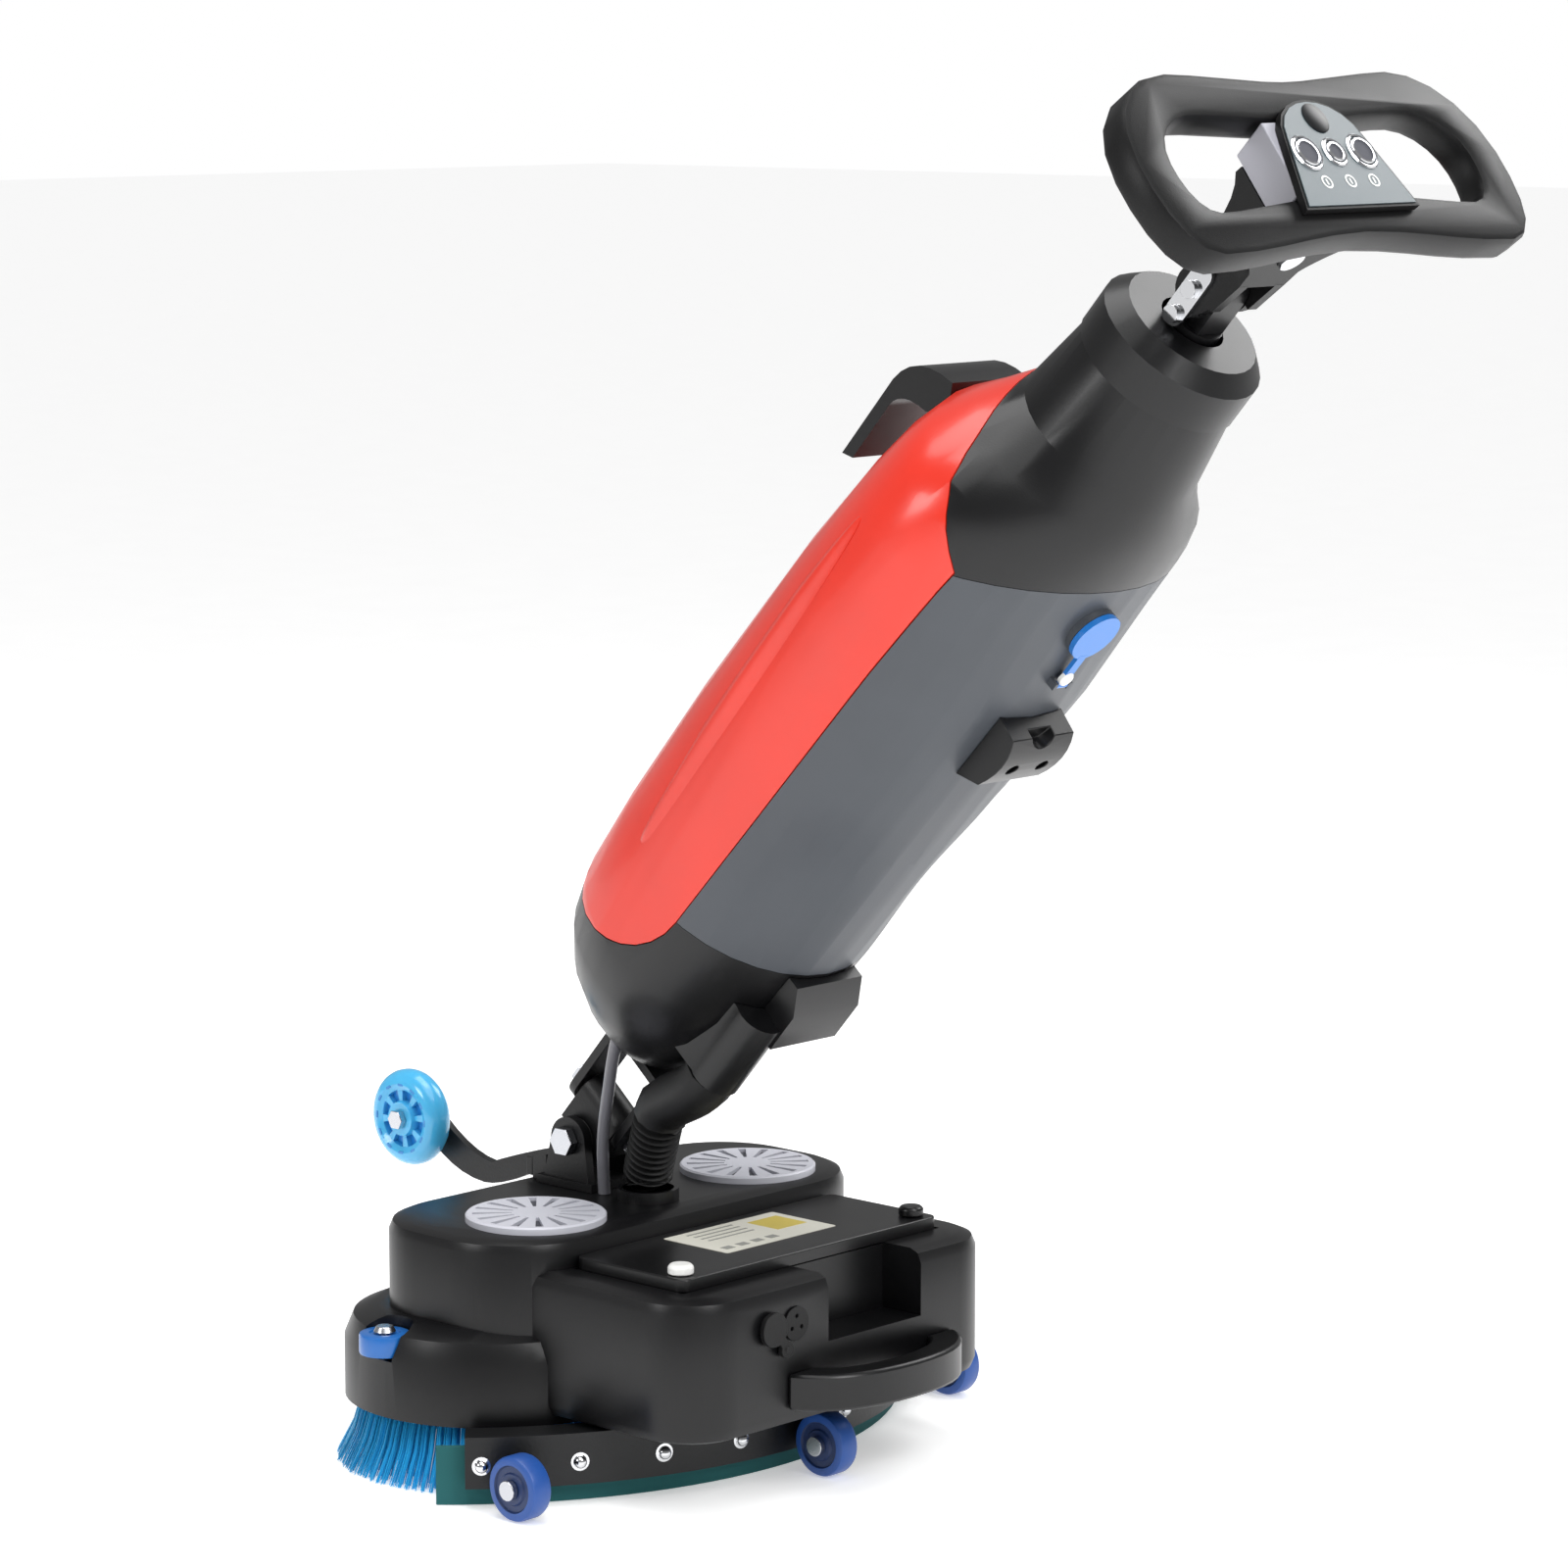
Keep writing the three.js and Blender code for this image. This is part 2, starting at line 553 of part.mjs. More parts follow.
function bumperPin(side) {
  const seat = BUMPER.bottom + BUMPER.height + GAP;
  const low = SKIRT.crease - 9;
  const top = seat + BUMPER.headHigh;
  const { pin, head } = BUMPER;
  const outline = [[0, low], [pin, low], [pin, seat], [head, seat], [head - 2, top], [0, top]];
  return turned(outline, 16).translate(overBumper(side));
}

// ---------------------------------------------------------------- squeegee and its wheels
// Where each small wheel stands: its side, its middle and the side that its lug is on.
function casters() {
  const sideY = ARC.y - Math.sqrt(CASTER.ring ** 2 - CASTER.sideX ** 2);
  return [
    { name: "left", x: -CASTER.sideX, y: sideY, lug: 1 },
    { name: "centre", x: 0, y: ARC.y - CASTER.ring, lug: 1 },
    { name: "right", x: CASTER.sideX, y: sideY, lug: -1 },
  ];
}

// The x of a caster's lug, near face and far face.
function lugSpan({ x, lug }) {
  const near = x + lug * (CASTER.width / 2 + LUG.standoff);
  const far = near + lug * LUG.thick;
  return [Math.min(near, far), Math.max(near, far)];
}

function squeegeeChannel() {
  const outerWall = arcWall(ARC.outer - ARC.wall, ARC.outer, ARC.endX, ARC.bottom, ARC.top);
  const wallReach = ARC.inner + ARC.wall;
  const innerWall = arcWall(ARC.inner, wallReach, ARC.endX * wallReach / ARC.outer, ARC.bottom, ARC.top);
  const roof = arcWall(ARC.inner, ARC.outer, ARC.endX, ARC.top - ARC.roof, ARC.top);
  let channel = union(outerWall, innerWall, roof);
  for (const caster of casters()) {
    const [low, high] = lugSpan(caster);
    const midX = (low + high) / 2;
    const face = ARC.y - Math.sqrt((ARC.outer - ARC.wall / 2) ** 2 - midX ** 2);
    const z = CASTER.radius;
    const lug = box(low, high, caster.y - LUG.tail, face, z - LUG.high / 2 + 2, z + LUG.high / 2 + 2);
    channel = channel.add(lug).subtract(barX(CASTER.bolt + RUN, low - 1, high + 1, caster.y, z, 16));
  }
  return channel;
}

function squeegeeBlade() {
  return arcWall(BLADE.inner, BLADE.inner + BLADE.thick, BLADE.endX, 0, BLADE.top);
}

function casterWheel(caster) {
  const half = CASTER.width / 2;
  const rim = CASTER.radius;
  const bore = CASTER.bolt + RUN;
  const outline = [
    [bore, -half + 1],
    [CASTER.hub, -half + 1],
    [rim - 3, -half],
    [rim, -half + 3],
    [rim, half - 3],
    [rim - 3, half],
    [CASTER.hub, half - 1],
    [bore, half - 1],
    [bore, -half + 1],
  ];
  return turned(outline, 20).rotate([0, 90, 0]).translate([caster.x, caster.y, rim]);
}

function casterAxle(caster) {
  const outer = caster.x - caster.lug * (CASTER.width / 2 + GAP);
  const head = outer - caster.lug * CASTER.headHigh;
  const [low, high] = lugSpan(caster);
  const end = caster.lug > 0 ? high + 2 : low - 2;
  const shank = barX(CASTER.bolt, Math.min(outer, end), Math.max(outer, end), caster.y, CASTER.radius, 16);
  const cap = barX(CASTER.head, Math.min(head, outer), Math.max(head, outer), caster.y, CASTER.radius, 16);
  const grip = Math.abs(CASTER.headHigh) / 2;
  const joint = barX(CASTER.bolt, outer - grip, outer + grip, caster.y, CASTER.radius, 16);
  return union(shank, cap, joint);
}

// ---------------------------------------------------------------- tipping wheel
function transportWheel() {
  const half = TIP.width / 2;
  const bore = TIP.bolt + RUN;
  const rim = TIP.radius;
  const outline = [
    [bore, -half],
    [TIP.hub, -half],
    [TIP.hub + 2, TIP.dish - half],
    [TIP.lip - 2, TIP.dish - half],
    [TIP.lip, -half],
    [rim - 6, -half],
    [rim, 6 - half],
    [rim, half - 6],
    [rim - 6, half],
    [TIP.lip, half],
    [TIP.lip - 2, half - TIP.dish],
    [TIP.hub + 2, half - TIP.dish],
    [TIP.hub, half],
    [bore, half],
    [bore, -half],
  ];
  return turned(outline, 28).rotate([0, 90, 0]).translate([0, TIP.y, TIP.z]);
}

function armFace() {
  return TIP.width / 2 + ARM.standoff;
}

// A bent flat arm on the wheel's right, with a foot across the front of the joint's base.
function wheelArm() {
  const start = YOKE.baseFront + GAP;
  const clear = HUMP.front + ARM.thick;
  const shape = new THREE.Shape();
  shape.moveTo(start, ARM.footLow);
  shape.lineTo(clear, ARM.footLow);
  shape.quadraticCurveTo(ARM.dipY - 24, ARM.dip, ARM.dipY, ARM.dip);
  shape.quadraticCurveTo(TIP.y - 26, ARM.dip + 2, TIP.y + 4, TIP.z - ARM.wide / 2);
  shape.absarc(TIP.y, TIP.z, ARM.wide / 2, -Math.PI / 3, (2 * Math.PI) / 3, false);
  shape.quadraticCurveTo(TIP.y - 40, ARM.dip + ARM.wide - 2, ARM.dipY - 8, ARM.dip + ARM.wide - 5);
  shape.quadraticCurveTo(clear + 30, ARM.footHigh - 14, clear, ARM.footHigh - 6);
  shape.lineTo(start, ARM.footHigh - 4);
  const plate = sideSlab(shape, armFace(), armFace() + ARM.thick, 6);
  const foot = box(-YOKE.toe, armFace() + 1, start, start + ARM.thick, ARM.footLow, ARM.footHigh - 4);
  return minus(union(plate, foot), barX(TIP.bolt + RUN, 0, FAR / 4, TIP.y, TIP.z, 16));
}

function transportAxle() {
  const left = -TIP.width / 2 - GAP;
  const right = armFace() + ARM.thick + GAP;
  const shank = barX(TIP.bolt, left - 1, right + 1, TIP.y, TIP.z, 16);
  const head = barX(TIP.head, left - TIP.headHigh, left, TIP.y, TIP.z, 6);
  const nut = barX(TIP.head, right, right + TIP.headHigh, TIP.y, TIP.z, 6);
  return union(shank, head, nut);
}

// ---------------------------------------------------------------- joint between head and upright
function deckYoke() {
  const seat = HUMP.top + GAP;
  const half = YOKE.baseHalf;
  const base = box(-half, half, YOKE.baseRear, YOKE.baseFront - 10, seat, seat + YOKE.base);
  const toe = box(-YOKE.toe, YOKE.toe, YOKE.baseFront - 14, YOKE.baseFront, seat, ARM.footHigh);
  const cheekShape = new THREE.Shape();
  cheekShape.moveTo(PIVOT.y - YOKE.round - 4, seat + 1);
  cheekShape.lineTo(PIVOT.y + YOKE.round + 8, seat + 1);
  cheekShape.lineTo(PIVOT.y + YOKE.round, PIVOT.z);
  cheekShape.absarc(PIVOT.y, PIVOT.z, YOKE.round, 0, Math.PI, false);
  const cheeks = [-1, 1].map((side) => {
    const near = side * YOKE.cheekGap;
    const far = side * (YOKE.cheekGap + YOKE.cheek);
    return sideSlab(cheekShape, Math.min(near, far), Math.max(near, far), 8);
  });
  const bore = barX(PIN.radius + RUN, -60, 60, PIVOT.y, PIVOT.z);
  return minus(union(base, toe, ...cheeks), bore);
}

function pitchBolt() {
  const half = YOKE.cheekGap + YOKE.cheek + GAP;
  const shank = barX(PIN.radius, -half - 1, half + 1, PIVOT.y, PIVOT.z);
  const head = barX(PIN.head, -half - PIN.headHigh, -half, PIVOT.y, PIVOT.z, 6);
  const nut = barX(PIN.head, half, half + PIN.headHigh, PIVOT.y, PIVOT.z, 6);
  return union(shank, head, nut);
}

// The cross turns on the pitch bolt and carries the roll pin above it, fore and aft of the upright.
function jointCross() {
  const lower = barX(CROSS.low, -CROSS.half, CROSS.half, 0, 0);
  const neck = box(-CROSS.rollRound, CROSS.rollRound, -CROSS.depth, CROSS.depth, 0, CROSS.rollRise);
  const upper = barY(CROSS.rollRound, -CROSS.depth, CROSS.depth, 0, CROSS.rollRise);
  const pitch = barX(PIN.radius + RUN, -FAR / 4, FAR / 4, 0, 0);
  const roll = barY(PIN.radius + RUN, -FAR / 4, FAR / 4, 0, CROSS.rollRise);
  return minus(union(lower, neck, upper), pitch, roll);
}

function strapFace() {
  return CROSS.depth + STRAP.clear;
}

function rollPin() {
  const half = strapFace() + STRAP.thick + GAP;
  const shank = barY(PIN.radius, -half - 1, half + 1, 0, CROSS.rollRise);
  const head = barY(PIN.head - 1, half, half + PIN.headHigh - 1, 0, CROSS.rollRise, 6);
  const nut = barY(PIN.head - 1, -half - PIN.headHigh + 1, -half, 0, CROSS.rollRise, 6);
  return union(shank, head, nut);
}

// Two plates hang from the body's floor and hold the roll pin.
function uprightYoke() {
  const high = DATUM.rise + SECTIONS[0][0] - GAP;
  const shape = new THREE.Shape();
  shape.absarc(0, CROSS.rollRise, STRAP.halfWide, Math.PI, 2 * Math.PI, false);
  shape.lineTo(STRAP.halfWide, high);
  shape.lineTo(-STRAP.halfWide, high);
  const plate = slab(shape, 0, STRAP.thick, 0, 8).rotate([90, 0, 0]);
  const front = plate.translate([0, strapFace() + STRAP.thick, 0]);
  const rear = plate.translate([0, -strapFace(), 0]);
  const depth = strapFace() + STRAP.thick;
  const top = box(-STRAP.halfWide, STRAP.halfWide, -depth, depth, high - STRAP.thick, high);
  const bore = barY(PIN.radius + RUN, -FAR / 4, FAR / 4, 0, CROSS.rollRise);
  return minus(union(front, rear, top), bore);
}

// ---------------------------------------------------------------- upright body
function baseHousing() {
  const outer = bodyForm(0, SECTIONS[0][0], BASE_SEAM);
  const inner = bodyForm(-WALL, SECTIONS[0][0] + WALL, BASE_SEAM + 1, 24);
  const tube = swept(tubeRoute(), TUBE.radius + 1, 14, 5);
  return minus(outer, inner, across(redOutline(-GAP)), inBody(tube));
}

function solutionTank() {
  const high = TOP_SEAM.height + FAR / 4;
  const outer = bodyForm(0, BASE_SEAM + 0.1, high - 60).intersect(across(greyOutline(GAP)));
  const inner = bodyForm(-WALL, BASE_SEAM + 0.1, high - 60, 24).intersect(across(greyOutline(GAP + WALL)));
  const hole = barY(FILL.radius, -FAR / 2, 0, 0, FILL.height);
  return minus(outer.subtract(inner).add(fillNeck()), hole);
}

function recoveryTank() {
  const outer = bodyForm(0, RED_LOW.front - 20, 694).intersect(across(redOutline(GAP)));
  const inner = bodyForm(-WALL, RED_LOW.front - 20, 640, 24).intersect(across(redOutline(GAP + WALL)));
  const inlet = barY(INLET.radius, -FAR / 2, 0, 0, INLET.height);
  return minus(outer, inner, inlet);
}

function neckHousing() {
  const low = TOP_SEAM.height - 60;
  const top = SECTIONS.at(-1)[0];
  const outer = bodyForm(0, low, top).intersect(across(highOutline(0)));
  const inner = bodyForm(-WALL, low, top - WALL, 24).intersect(across(highOutline(1)));
  const collar = turned([
    [0, top - 1],
    [COLLAR.radius, top - 1],
    [COLLAR.radius, top + COLLAR.height],
    [COLLAR.topRadius, top + COLLAR.height + COLLAR.top],
    [0, top + COLLAR.height + COLLAR.top],
  ], 32).translate([0, COLLAR.back, 0]);
  const bore = bar(COLLAR.bore, top - 10, top + FAR / 4).translate([0, COLLAR.back, 0]);
  const shell = minus(outer.add(collar), inner, bore);
  return minus(shell, across(redOutline(-GAP)));
}

function stem() {
  const top = STEM.fold;
  const tube = bar(STEM.radius, STEM.low, top - STEM.shoulder);
  const { eyeHalf, eyeRound, shoulder } = STEM;
  const shank = box(-eyeHalf, eyeHalf, -eyeRound, eyeRound, top - shoulder - 1, top);
  const eye = barX(STEM.eyeRound, -STEM.eyeHalf, STEM.eyeHalf, 0, top);
  const bore = barX(LINK.bolt + RUN, -FAR / 4, FAR / 4, 0, top, 16);
  return minus(union(tube, shank, eye), bore).translate([0, COLLAR.back, 0]);
}

// The tank's front grip: a bent bar with a finger gap that opens downwards.
function frontGrip() {
  const [, , halfDepth, offset] = sectionAt(GRIP.low);
  const face = halfDepth + offset;
  const outer = face + GRIP.stand;
  const shape = new THREE.Shape();
  shape.moveTo(outer - GRIP.thick, GRIP.low);
  shape.lineTo(outer, GRIP.low - 4);
  shape.lineTo(outer, GRIP.high - 34);
  shape.quadraticCurveTo(outer - 2, GRIP.high - 6, face - 12, GRIP.high);
  shape.lineTo(face - 22, GRIP.high - 18);
  shape.lineTo(face - 8, GRIP.high - 30);
  shape.quadraticCurveTo(outer - GRIP.thick, GRIP.high - 34, outer - GRIP.thick, GRIP.high - 50);
  const bent = sideSlab(shape, -GRIP.halfWide, GRIP.halfWide, 6);
  return bent.subtract(bodyForm(GAP, GRIP.low - 40, 690));
}

function rearHook() {
  const [, , halfDepth, offset] = sectionAt(HOOK.low);
  const face = offset - halfDepth;
  const shape = new THREE.Shape();
  shape.moveTo(face + 12, HOOK.low - 12);
  shape.lineTo(face + 12, HOOK.high);
  shape.lineTo(face - HOOK.stand + 6, HOOK.high - 6);
  shape.quadraticCurveTo(face - HOOK.stand - 4, HOOK.high - 24, face - HOOK.stand + 8, HOOK.low);
  const lug = sideSlab(shape, -HOOK.halfWide, HOOK.halfWide, 6);
  const notch = barY(12, face - FAR / 4, face - 10, 0, HOOK.high - 2, 20);
  const screwHeight = HOOK.low + 18;
  const screwAt = (side) => barY(HOOK.screw, -FAR / 2, face - 6, side * HOOK.screwX, screwHeight, 12);
  const screws = [-1, 1].map(screwAt);
  return minus(lug, bodyForm(GAP, HOOK.low - 60, HOOK.high + 60), notch, ...screws);
}

// The exhaust vent box behind the base housing, with the suction duct that runs down beside it.
function exhaustBox() {
  const shape = new THREE.Shape();
  shape.moveTo(0, VENT.low);
  shape.lineTo(0, VENT.hoodHigh - 14);
  shape.lineTo(VENT.hoodY, VENT.hoodHigh - 14);
  shape.lineTo(VENT.y, VENT.high);
  shape.lineTo(VENT.y, VENT.low);
  const hood = sideSlab(shape, -VENT.halfWide, VENT.halfWide, 1);
  const { x, y, half } = DUCT;
  const barrel = bar(half + 2, DUCT.low, DUCT.high).translate([x, y, 0]);
  const duct = barrel.add(box(x - half, x + half, y, y + half + 20, DUCT.low, DUCT.high));
  const bore = bar(HOSE.bore, DUCT.low - 1, DUCT.low + 20).translate([x, y + 3, 0]);
  const clear = bodyForm(GAP, DUCT.low - 40, BASE_SEAM + 40);
  return minus(union(hood, duct), clear, bore);
}

function vacuumMotor() {
  const { radius, low, high, nose, noseLow } = VACUUM;
  const outline = [
    [0, noseLow], [nose, noseLow], [nose, low],
    [radius, low], [radius, high - 18], [radius - 12, high], [0, high],
  ];
  return turned(outline).translate([VACUUM.x, sectionAt(high)[3], 0]);
}

function solutionPump() {
  const { x, half, low, high } = PUMP;
  const y = sectionAt(high)[3];
  const head = box(x - half, x + half, y - half, y + half, low, low + 20);
  const motor = bar(half - 2, low + 19, high).translate([x, y, 0]);
  return union(head, motor);
}

// How far back the fill cap sits, clear of the tank down to its strap's anchor.
function fillSeat() {
  const [, , halfDepth, offset] = sectionAt(FILL.height - FILL.anchor);
  return offset - halfDepth - GAP - 1;
}

// The middle of the barrel that the cap's strap swings on.
function strapPivot() {
  return { y: fillSeat() - FILL.barrel, z: FILL.height - FILL.anchor };
}

// The tank's neck ring, which the cap closes on, and the two lugs that hold the strap's barrel.
function fillNeck() {
  const ring = barY(FILL.flange, fillSeat() + GAP, fillSeat() + WALL + 6, 0, FILL.height);
  const { y, z } = strapPivot();
  const reach = FILL.barrel;
  const lugs = [-1, 1].map((side) => {
    const near = Math.min(side * (FILL.strap + GAP), side * (FILL.strap + GAP + 3));
    return box(near, near + 3, y - reach, fillSeat() + 6, z - reach, z + reach);
  });
  return union(ring, ...lugs);
}

// A round cap on a strap, whose lower end is a barrel that it swings down on.
function fillCap() {
  const seat = fillSeat();
  const { y, z } = strapPivot();
  const flange = barY(FILL.flange, seat - FILL.thick, seat, 0, FILL.height);
  const plug = barY(FILL.plug, seat - 1, seat + FILL.plugDeep, 0, FILL.height);
  const strap = box(-FILL.strap + 1, FILL.strap - 1, y - 1.5, y + 1.5, z, FILL.height - FILL.flange + 3);
  const barrel = barX(FILL.barrel, -FILL.strap, FILL.strap, y, z, 12);
  return union(flange, plug, strap, barrel);
}

// ---------------------------------------------------------------- hoses
// A point of the upright body, given in its own axes, in machine coordinates.
function fromBody(x, y, height) {
  const lean = rad(LEAN);
  const up = DATUM.rise + height;
  const forward = DATUM.back + y;
  return [
    x,
    PIVOT.y + forward * Math.cos(lean) - up * Math.sin(lean),
    PIVOT.z + forward * Math.sin(lean) + up * Math.cos(lean),
  ];
}

// A machine-coordinate solid turned back into the upright body's own axes.
function inBody(body) {
  const upright = body.translate([0, -PIVOT.y, -PIVOT.z]).rotate([-LEAN, 0, 0]);
  return upright.translate([0, -DATUM.back, -DATUM.rise]);
}

// The route of the cuff and the hose: straight where they meet, so that their ends are square to each other.
function hosePath() {
  const start = fromBody(DUCT.x, DUCT.y + 3, DUCT.low - 1);
  const below = fromBody(DUCT.x, DUCT.y + 3, DUCT.low - 14);
  const meet = new THREE.Vector3(-26, -42, 240);
  const along = new THREE.Vector3(8, 20, -32).normalize();
  const at = (distance) => meet.clone().addScaledVector(along, distance).toArray();
  return { start, below, at };
}

function suctionCuff() {
  const { start, below, at } = hosePath();
  const cuff = swept([start, below, at(-8), at(0)], HOSE.cuff, 8, 6, HOSE.bore);
  return inBody(cuff).subtract(bodyForm(GAP, SECTIONS[0][0], BASE_SEAM));
}

function suctionHose() {
  const { at } = hosePath();
  const low = HUMP.top + SPIGOT.height + 1;
  const { x, y } = SPIGOT;
  return swept([at(1), at(8), [x, y, low + 10], [x, y, low]], HOSE.radius, 9, 6, HOSE.bore);
}

function tubeRoute() {
  const low = HUMP.top + GAP;
  return [
    fromBody(-34, 8, 48), fromBody(-34, 8, 24),
    [-28, 8, 248], [-24, 17, 216], [-21, 20, 190], [-20, 20, low],
  ];
}

function supplyTube() {
  return swept(tubeRoute(), TUBE.radius, 14, 5);
}

// ---------------------------------------------------------------- handle
// One side of the loop's outer edge, from the middle of its front bar to the middle of its rear bar.
function handleSide(side) {
  const curve = new THREE.CurvePath();
  const corners = [
    [0, 62], [30, 62], [70, 68], [112, 69],
    [150, 68], [181, 42], [184, 4],
    [186, -28], [178, -62], [148, -64],
    [90, -64], [60, -54], [0, -53],
  ].map(([x, v]) => new THREE.Vector2(side * x, v));
  for (let start = 0; start + 3 < corners.length; start += 3) {
    curve.add(new THREE.CubicBezierCurve(...corners.slice(start, start + 4)));
  }
  return curve.getPoints(5);
}

// The loop as a ring: the opening inside it takes in both finger gaps and the control box between them.
function handleOutline() {
  const left = handleSide(-1);
  const right = handleSide(1).reverse();
  const shape = new THREE.Shape([...left, ...right.slice(1, -1)]);
  const hole = new THREE.Path();
  hole.moveTo(0, 31);
  hole.bezierCurveTo(50, 32, 90, 37, 112, 36);
  hole.bezierCurveTo(136, 34, 150, 18, 151, 2);
  hole.bezierCurveTo(152, -14, 146, -31, 130, -32);
  hole.bezierCurveTo(100, -32, 60, -24, 0, -23);
  hole.bezierCurveTo(-60, -24, -100, -32, -130, -32);
  hole.bezierCurveTo(-146, -31, -152, -14, -151, 2);
  hole.bezierCurveTo(-150, 18, -136, 34, -112, 36);
  hole.bezierCurveTo(-90, 37, -50, 32, 0, 31);
  shape.holes.push(hole);
  return shape;
}

// The neck: broad where it leaves the rear bar, and narrow where it runs forward under the control box.
function handleNeck() {
  const low = HANDLE.low;
  const front = new THREE.Shape();
  front.moveTo(-NECK.wide, low + 4);
  front.quadraticCurveTo(-NECK.flare - 20, low, -NECK.flare, NECK.flareN);
  front.quadraticCurveTo(-NECK.waist - 8, NECK.flareN - 14, -NECK.waist, NECK.waistN);
  front.lineTo(2 - NECK.waist, NECK.foot);
  front.lineTo(NECK.waist - 2, NECK.foot);
  front.lineTo(NECK.waist, NECK.waistN);
  front.quadraticCurveTo(NECK.waist + 8, NECK.flareN - 14, NECK.flare, NECK.flareN);
  front.quadraticCurveTo(NECK.flare + 20, low, NECK.wide, low + 4);
  const rear = new THREE.Shape();
  rear.moveTo(-50, low + 6);
  rear.quadraticCurveTo(NECK.rear - 12, low - 4, NECK.rear, NECK.flareN - 4);
  rear.lineTo(NECK.rear - 3, NECK.foot);
  rear.lineTo(BOX.rear - GAP, NECK.foot);
  rear.lineTo(BOX.rear - GAP, low + 6);
  const fore = new THREE.Shape();
  fore.moveTo(BOX.rear - 1, NECK.foot);
  fore.lineTo(NECK.front, NECK.foot);
  fore.quadraticCurveTo(NECK.front + 4, NECK.flareN, BOX.front - 8, BOX.bottom - 6);
  fore.lineTo(BOX.front - 8, BOX.bottom - GAP);
  fore.lineTo(BOX.rear - 1, BOX.bottom - GAP);
  const outline = slab(front, -FAR / 4, FAR / 4, 0, 5).rotate([90, 0, 0]);
  const sides = union(sideSlab(rear, -FAR / 2, FAR / 2, 5), sideSlab(fore, -BOX.lowHalf, BOX.lowHalf, 5));
  return outline.intersect(sides);
}

// The fork under the neck, whose cheeks stand each side of the stem's eye.
function handleFork(foldN, foldV) {
  const cheeks = [-1, 1].map((side) => {
    const near = Math.min(side * FORK.gap, side * (FORK.gap + FORK.cheek));
    const cheek = barX(FORK.round, near, near + FORK.cheek, foldV, foldN);
    const web = box(near, near + FORK.cheek, NECK.rear - 3, NECK.front, foldN + 2, NECK.foot + 1);
    return cheek.add(web);
  });
  return union(...cheeks);
}

function handleLoop(foldN, foldV) {
  const ring = slab(handleOutline(), HANDLE.low, HANDLE.high, HANDLE.bevel, 5);
  const bore = barX(LINK.bolt + RUN, -FAR / 4, FAR / 4, foldV, foldN, 16);
  const press = barY(RELEASE.radius + RUN, -FAR / 4, NECK.rear + RELEASE.height, 0, RELEASE.n);
  return minus(union(ring, handleNeck(), handleFork(foldN, foldV)), bore, press);
}

// The tapered box that stands in the ring between the two bars, under the panel.
function controlBox() {
  const top = HANDLE.high;
  const shape = new THREE.Shape();
  shape.moveTo(-BOX.topHalf, top);
  shape.lineTo(-BOX.lowHalf, BOX.bottom);
  shape.lineTo(BOX.lowHalf, BOX.bottom);
  shape.lineTo(BOX.topHalf, top);
  return slab(shape, -BOX.front, -BOX.rear, 0, 1).rotate([90, 0, 0]);
}

function controlPanel() {
  const low = HANDLE.high + GAP;
  const { rearHalf, frontHalf, rear, front, noseRise } = PANEL;
  const shape = new THREE.Shape();
  shape.moveTo(-rearHalf, rear);
  shape.lineTo(rearHalf, rear);
  shape.lineTo(frontHalf, front);
  shape.bezierCurveTo(frontHalf - 6, front + noseRise, 6 - frontHalf, front + noseRise, -frontHalf, front);
  const plate = slab(shape, low, low + PANEL.thick, 0, 10);
  const holes = [-1, 0, 1].map((side) =>
    bar(buttonRadius(side) + RUN, low - 1, low + PANEL.thick + 1).translate([side * BUTTON.x, BUTTON.v, 0]),
  );
  return minus(plate, ...holes);
}

function buttonRadius(side) {
  return side === 0 ? BUTTON.middle : BUTTON.side;
}

function pushButton(side) {
  const low = HANDLE.high + BUTTON.travel + 2 * GAP;
  return bar(buttonRadius(side), low, low + BUTTON.height - 2).translate([side * BUTTON.x, BUTTON.v, 0]);
}

function releaseButton() {
  const seat = NECK.rear + RELEASE.height - RELEASE.travel - 2 * GAP;
  return barY(RELEASE.radius, NECK.rear - 5, seat, 0, RELEASE.n);
}

// The bright link on the fork's left side, with the fold bolt and a stud into the stem below it.
function hingePlate() {
  const near = -FORK.gap - FORK.cheek - GAP;
  const far = near - LINK.thick;
  const fold = STEM.fold;
  const low = fold - LINK.pitch;
  const shape = new THREE.Shape();
  shape.absarc(0, low, LINK.half, Math.PI, 2 * Math.PI, false);
  shape.absarc(0, fold + LINK.rise - LINK.half, LINK.half, 0, Math.PI, false);
  const plate = sideSlab(shape, far, near, 6);
  const right = FORK.gap + FORK.cheek + GAP;
  const bolt = barX(LINK.bolt, far - 1, right + 1, 0, fold, 16);
  const nut = barX(LINK.bolt + LINK.head, right, right + LINK.headHigh, 0, fold, 6);
  const headFace = far - LINK.headHigh;
  const heads = [low, fold].map((height) => barX(LINK.bolt + 1.5, headFace, far + 1, 0, height, 12));
  const stud = barX(LINK.bolt, far - 1, -STEM.eyeHalf - GAP, 0, low, 12);
  return union(plate, bolt, nut, ...heads, stud).translate([0, COLLAR.back, 0]);
}

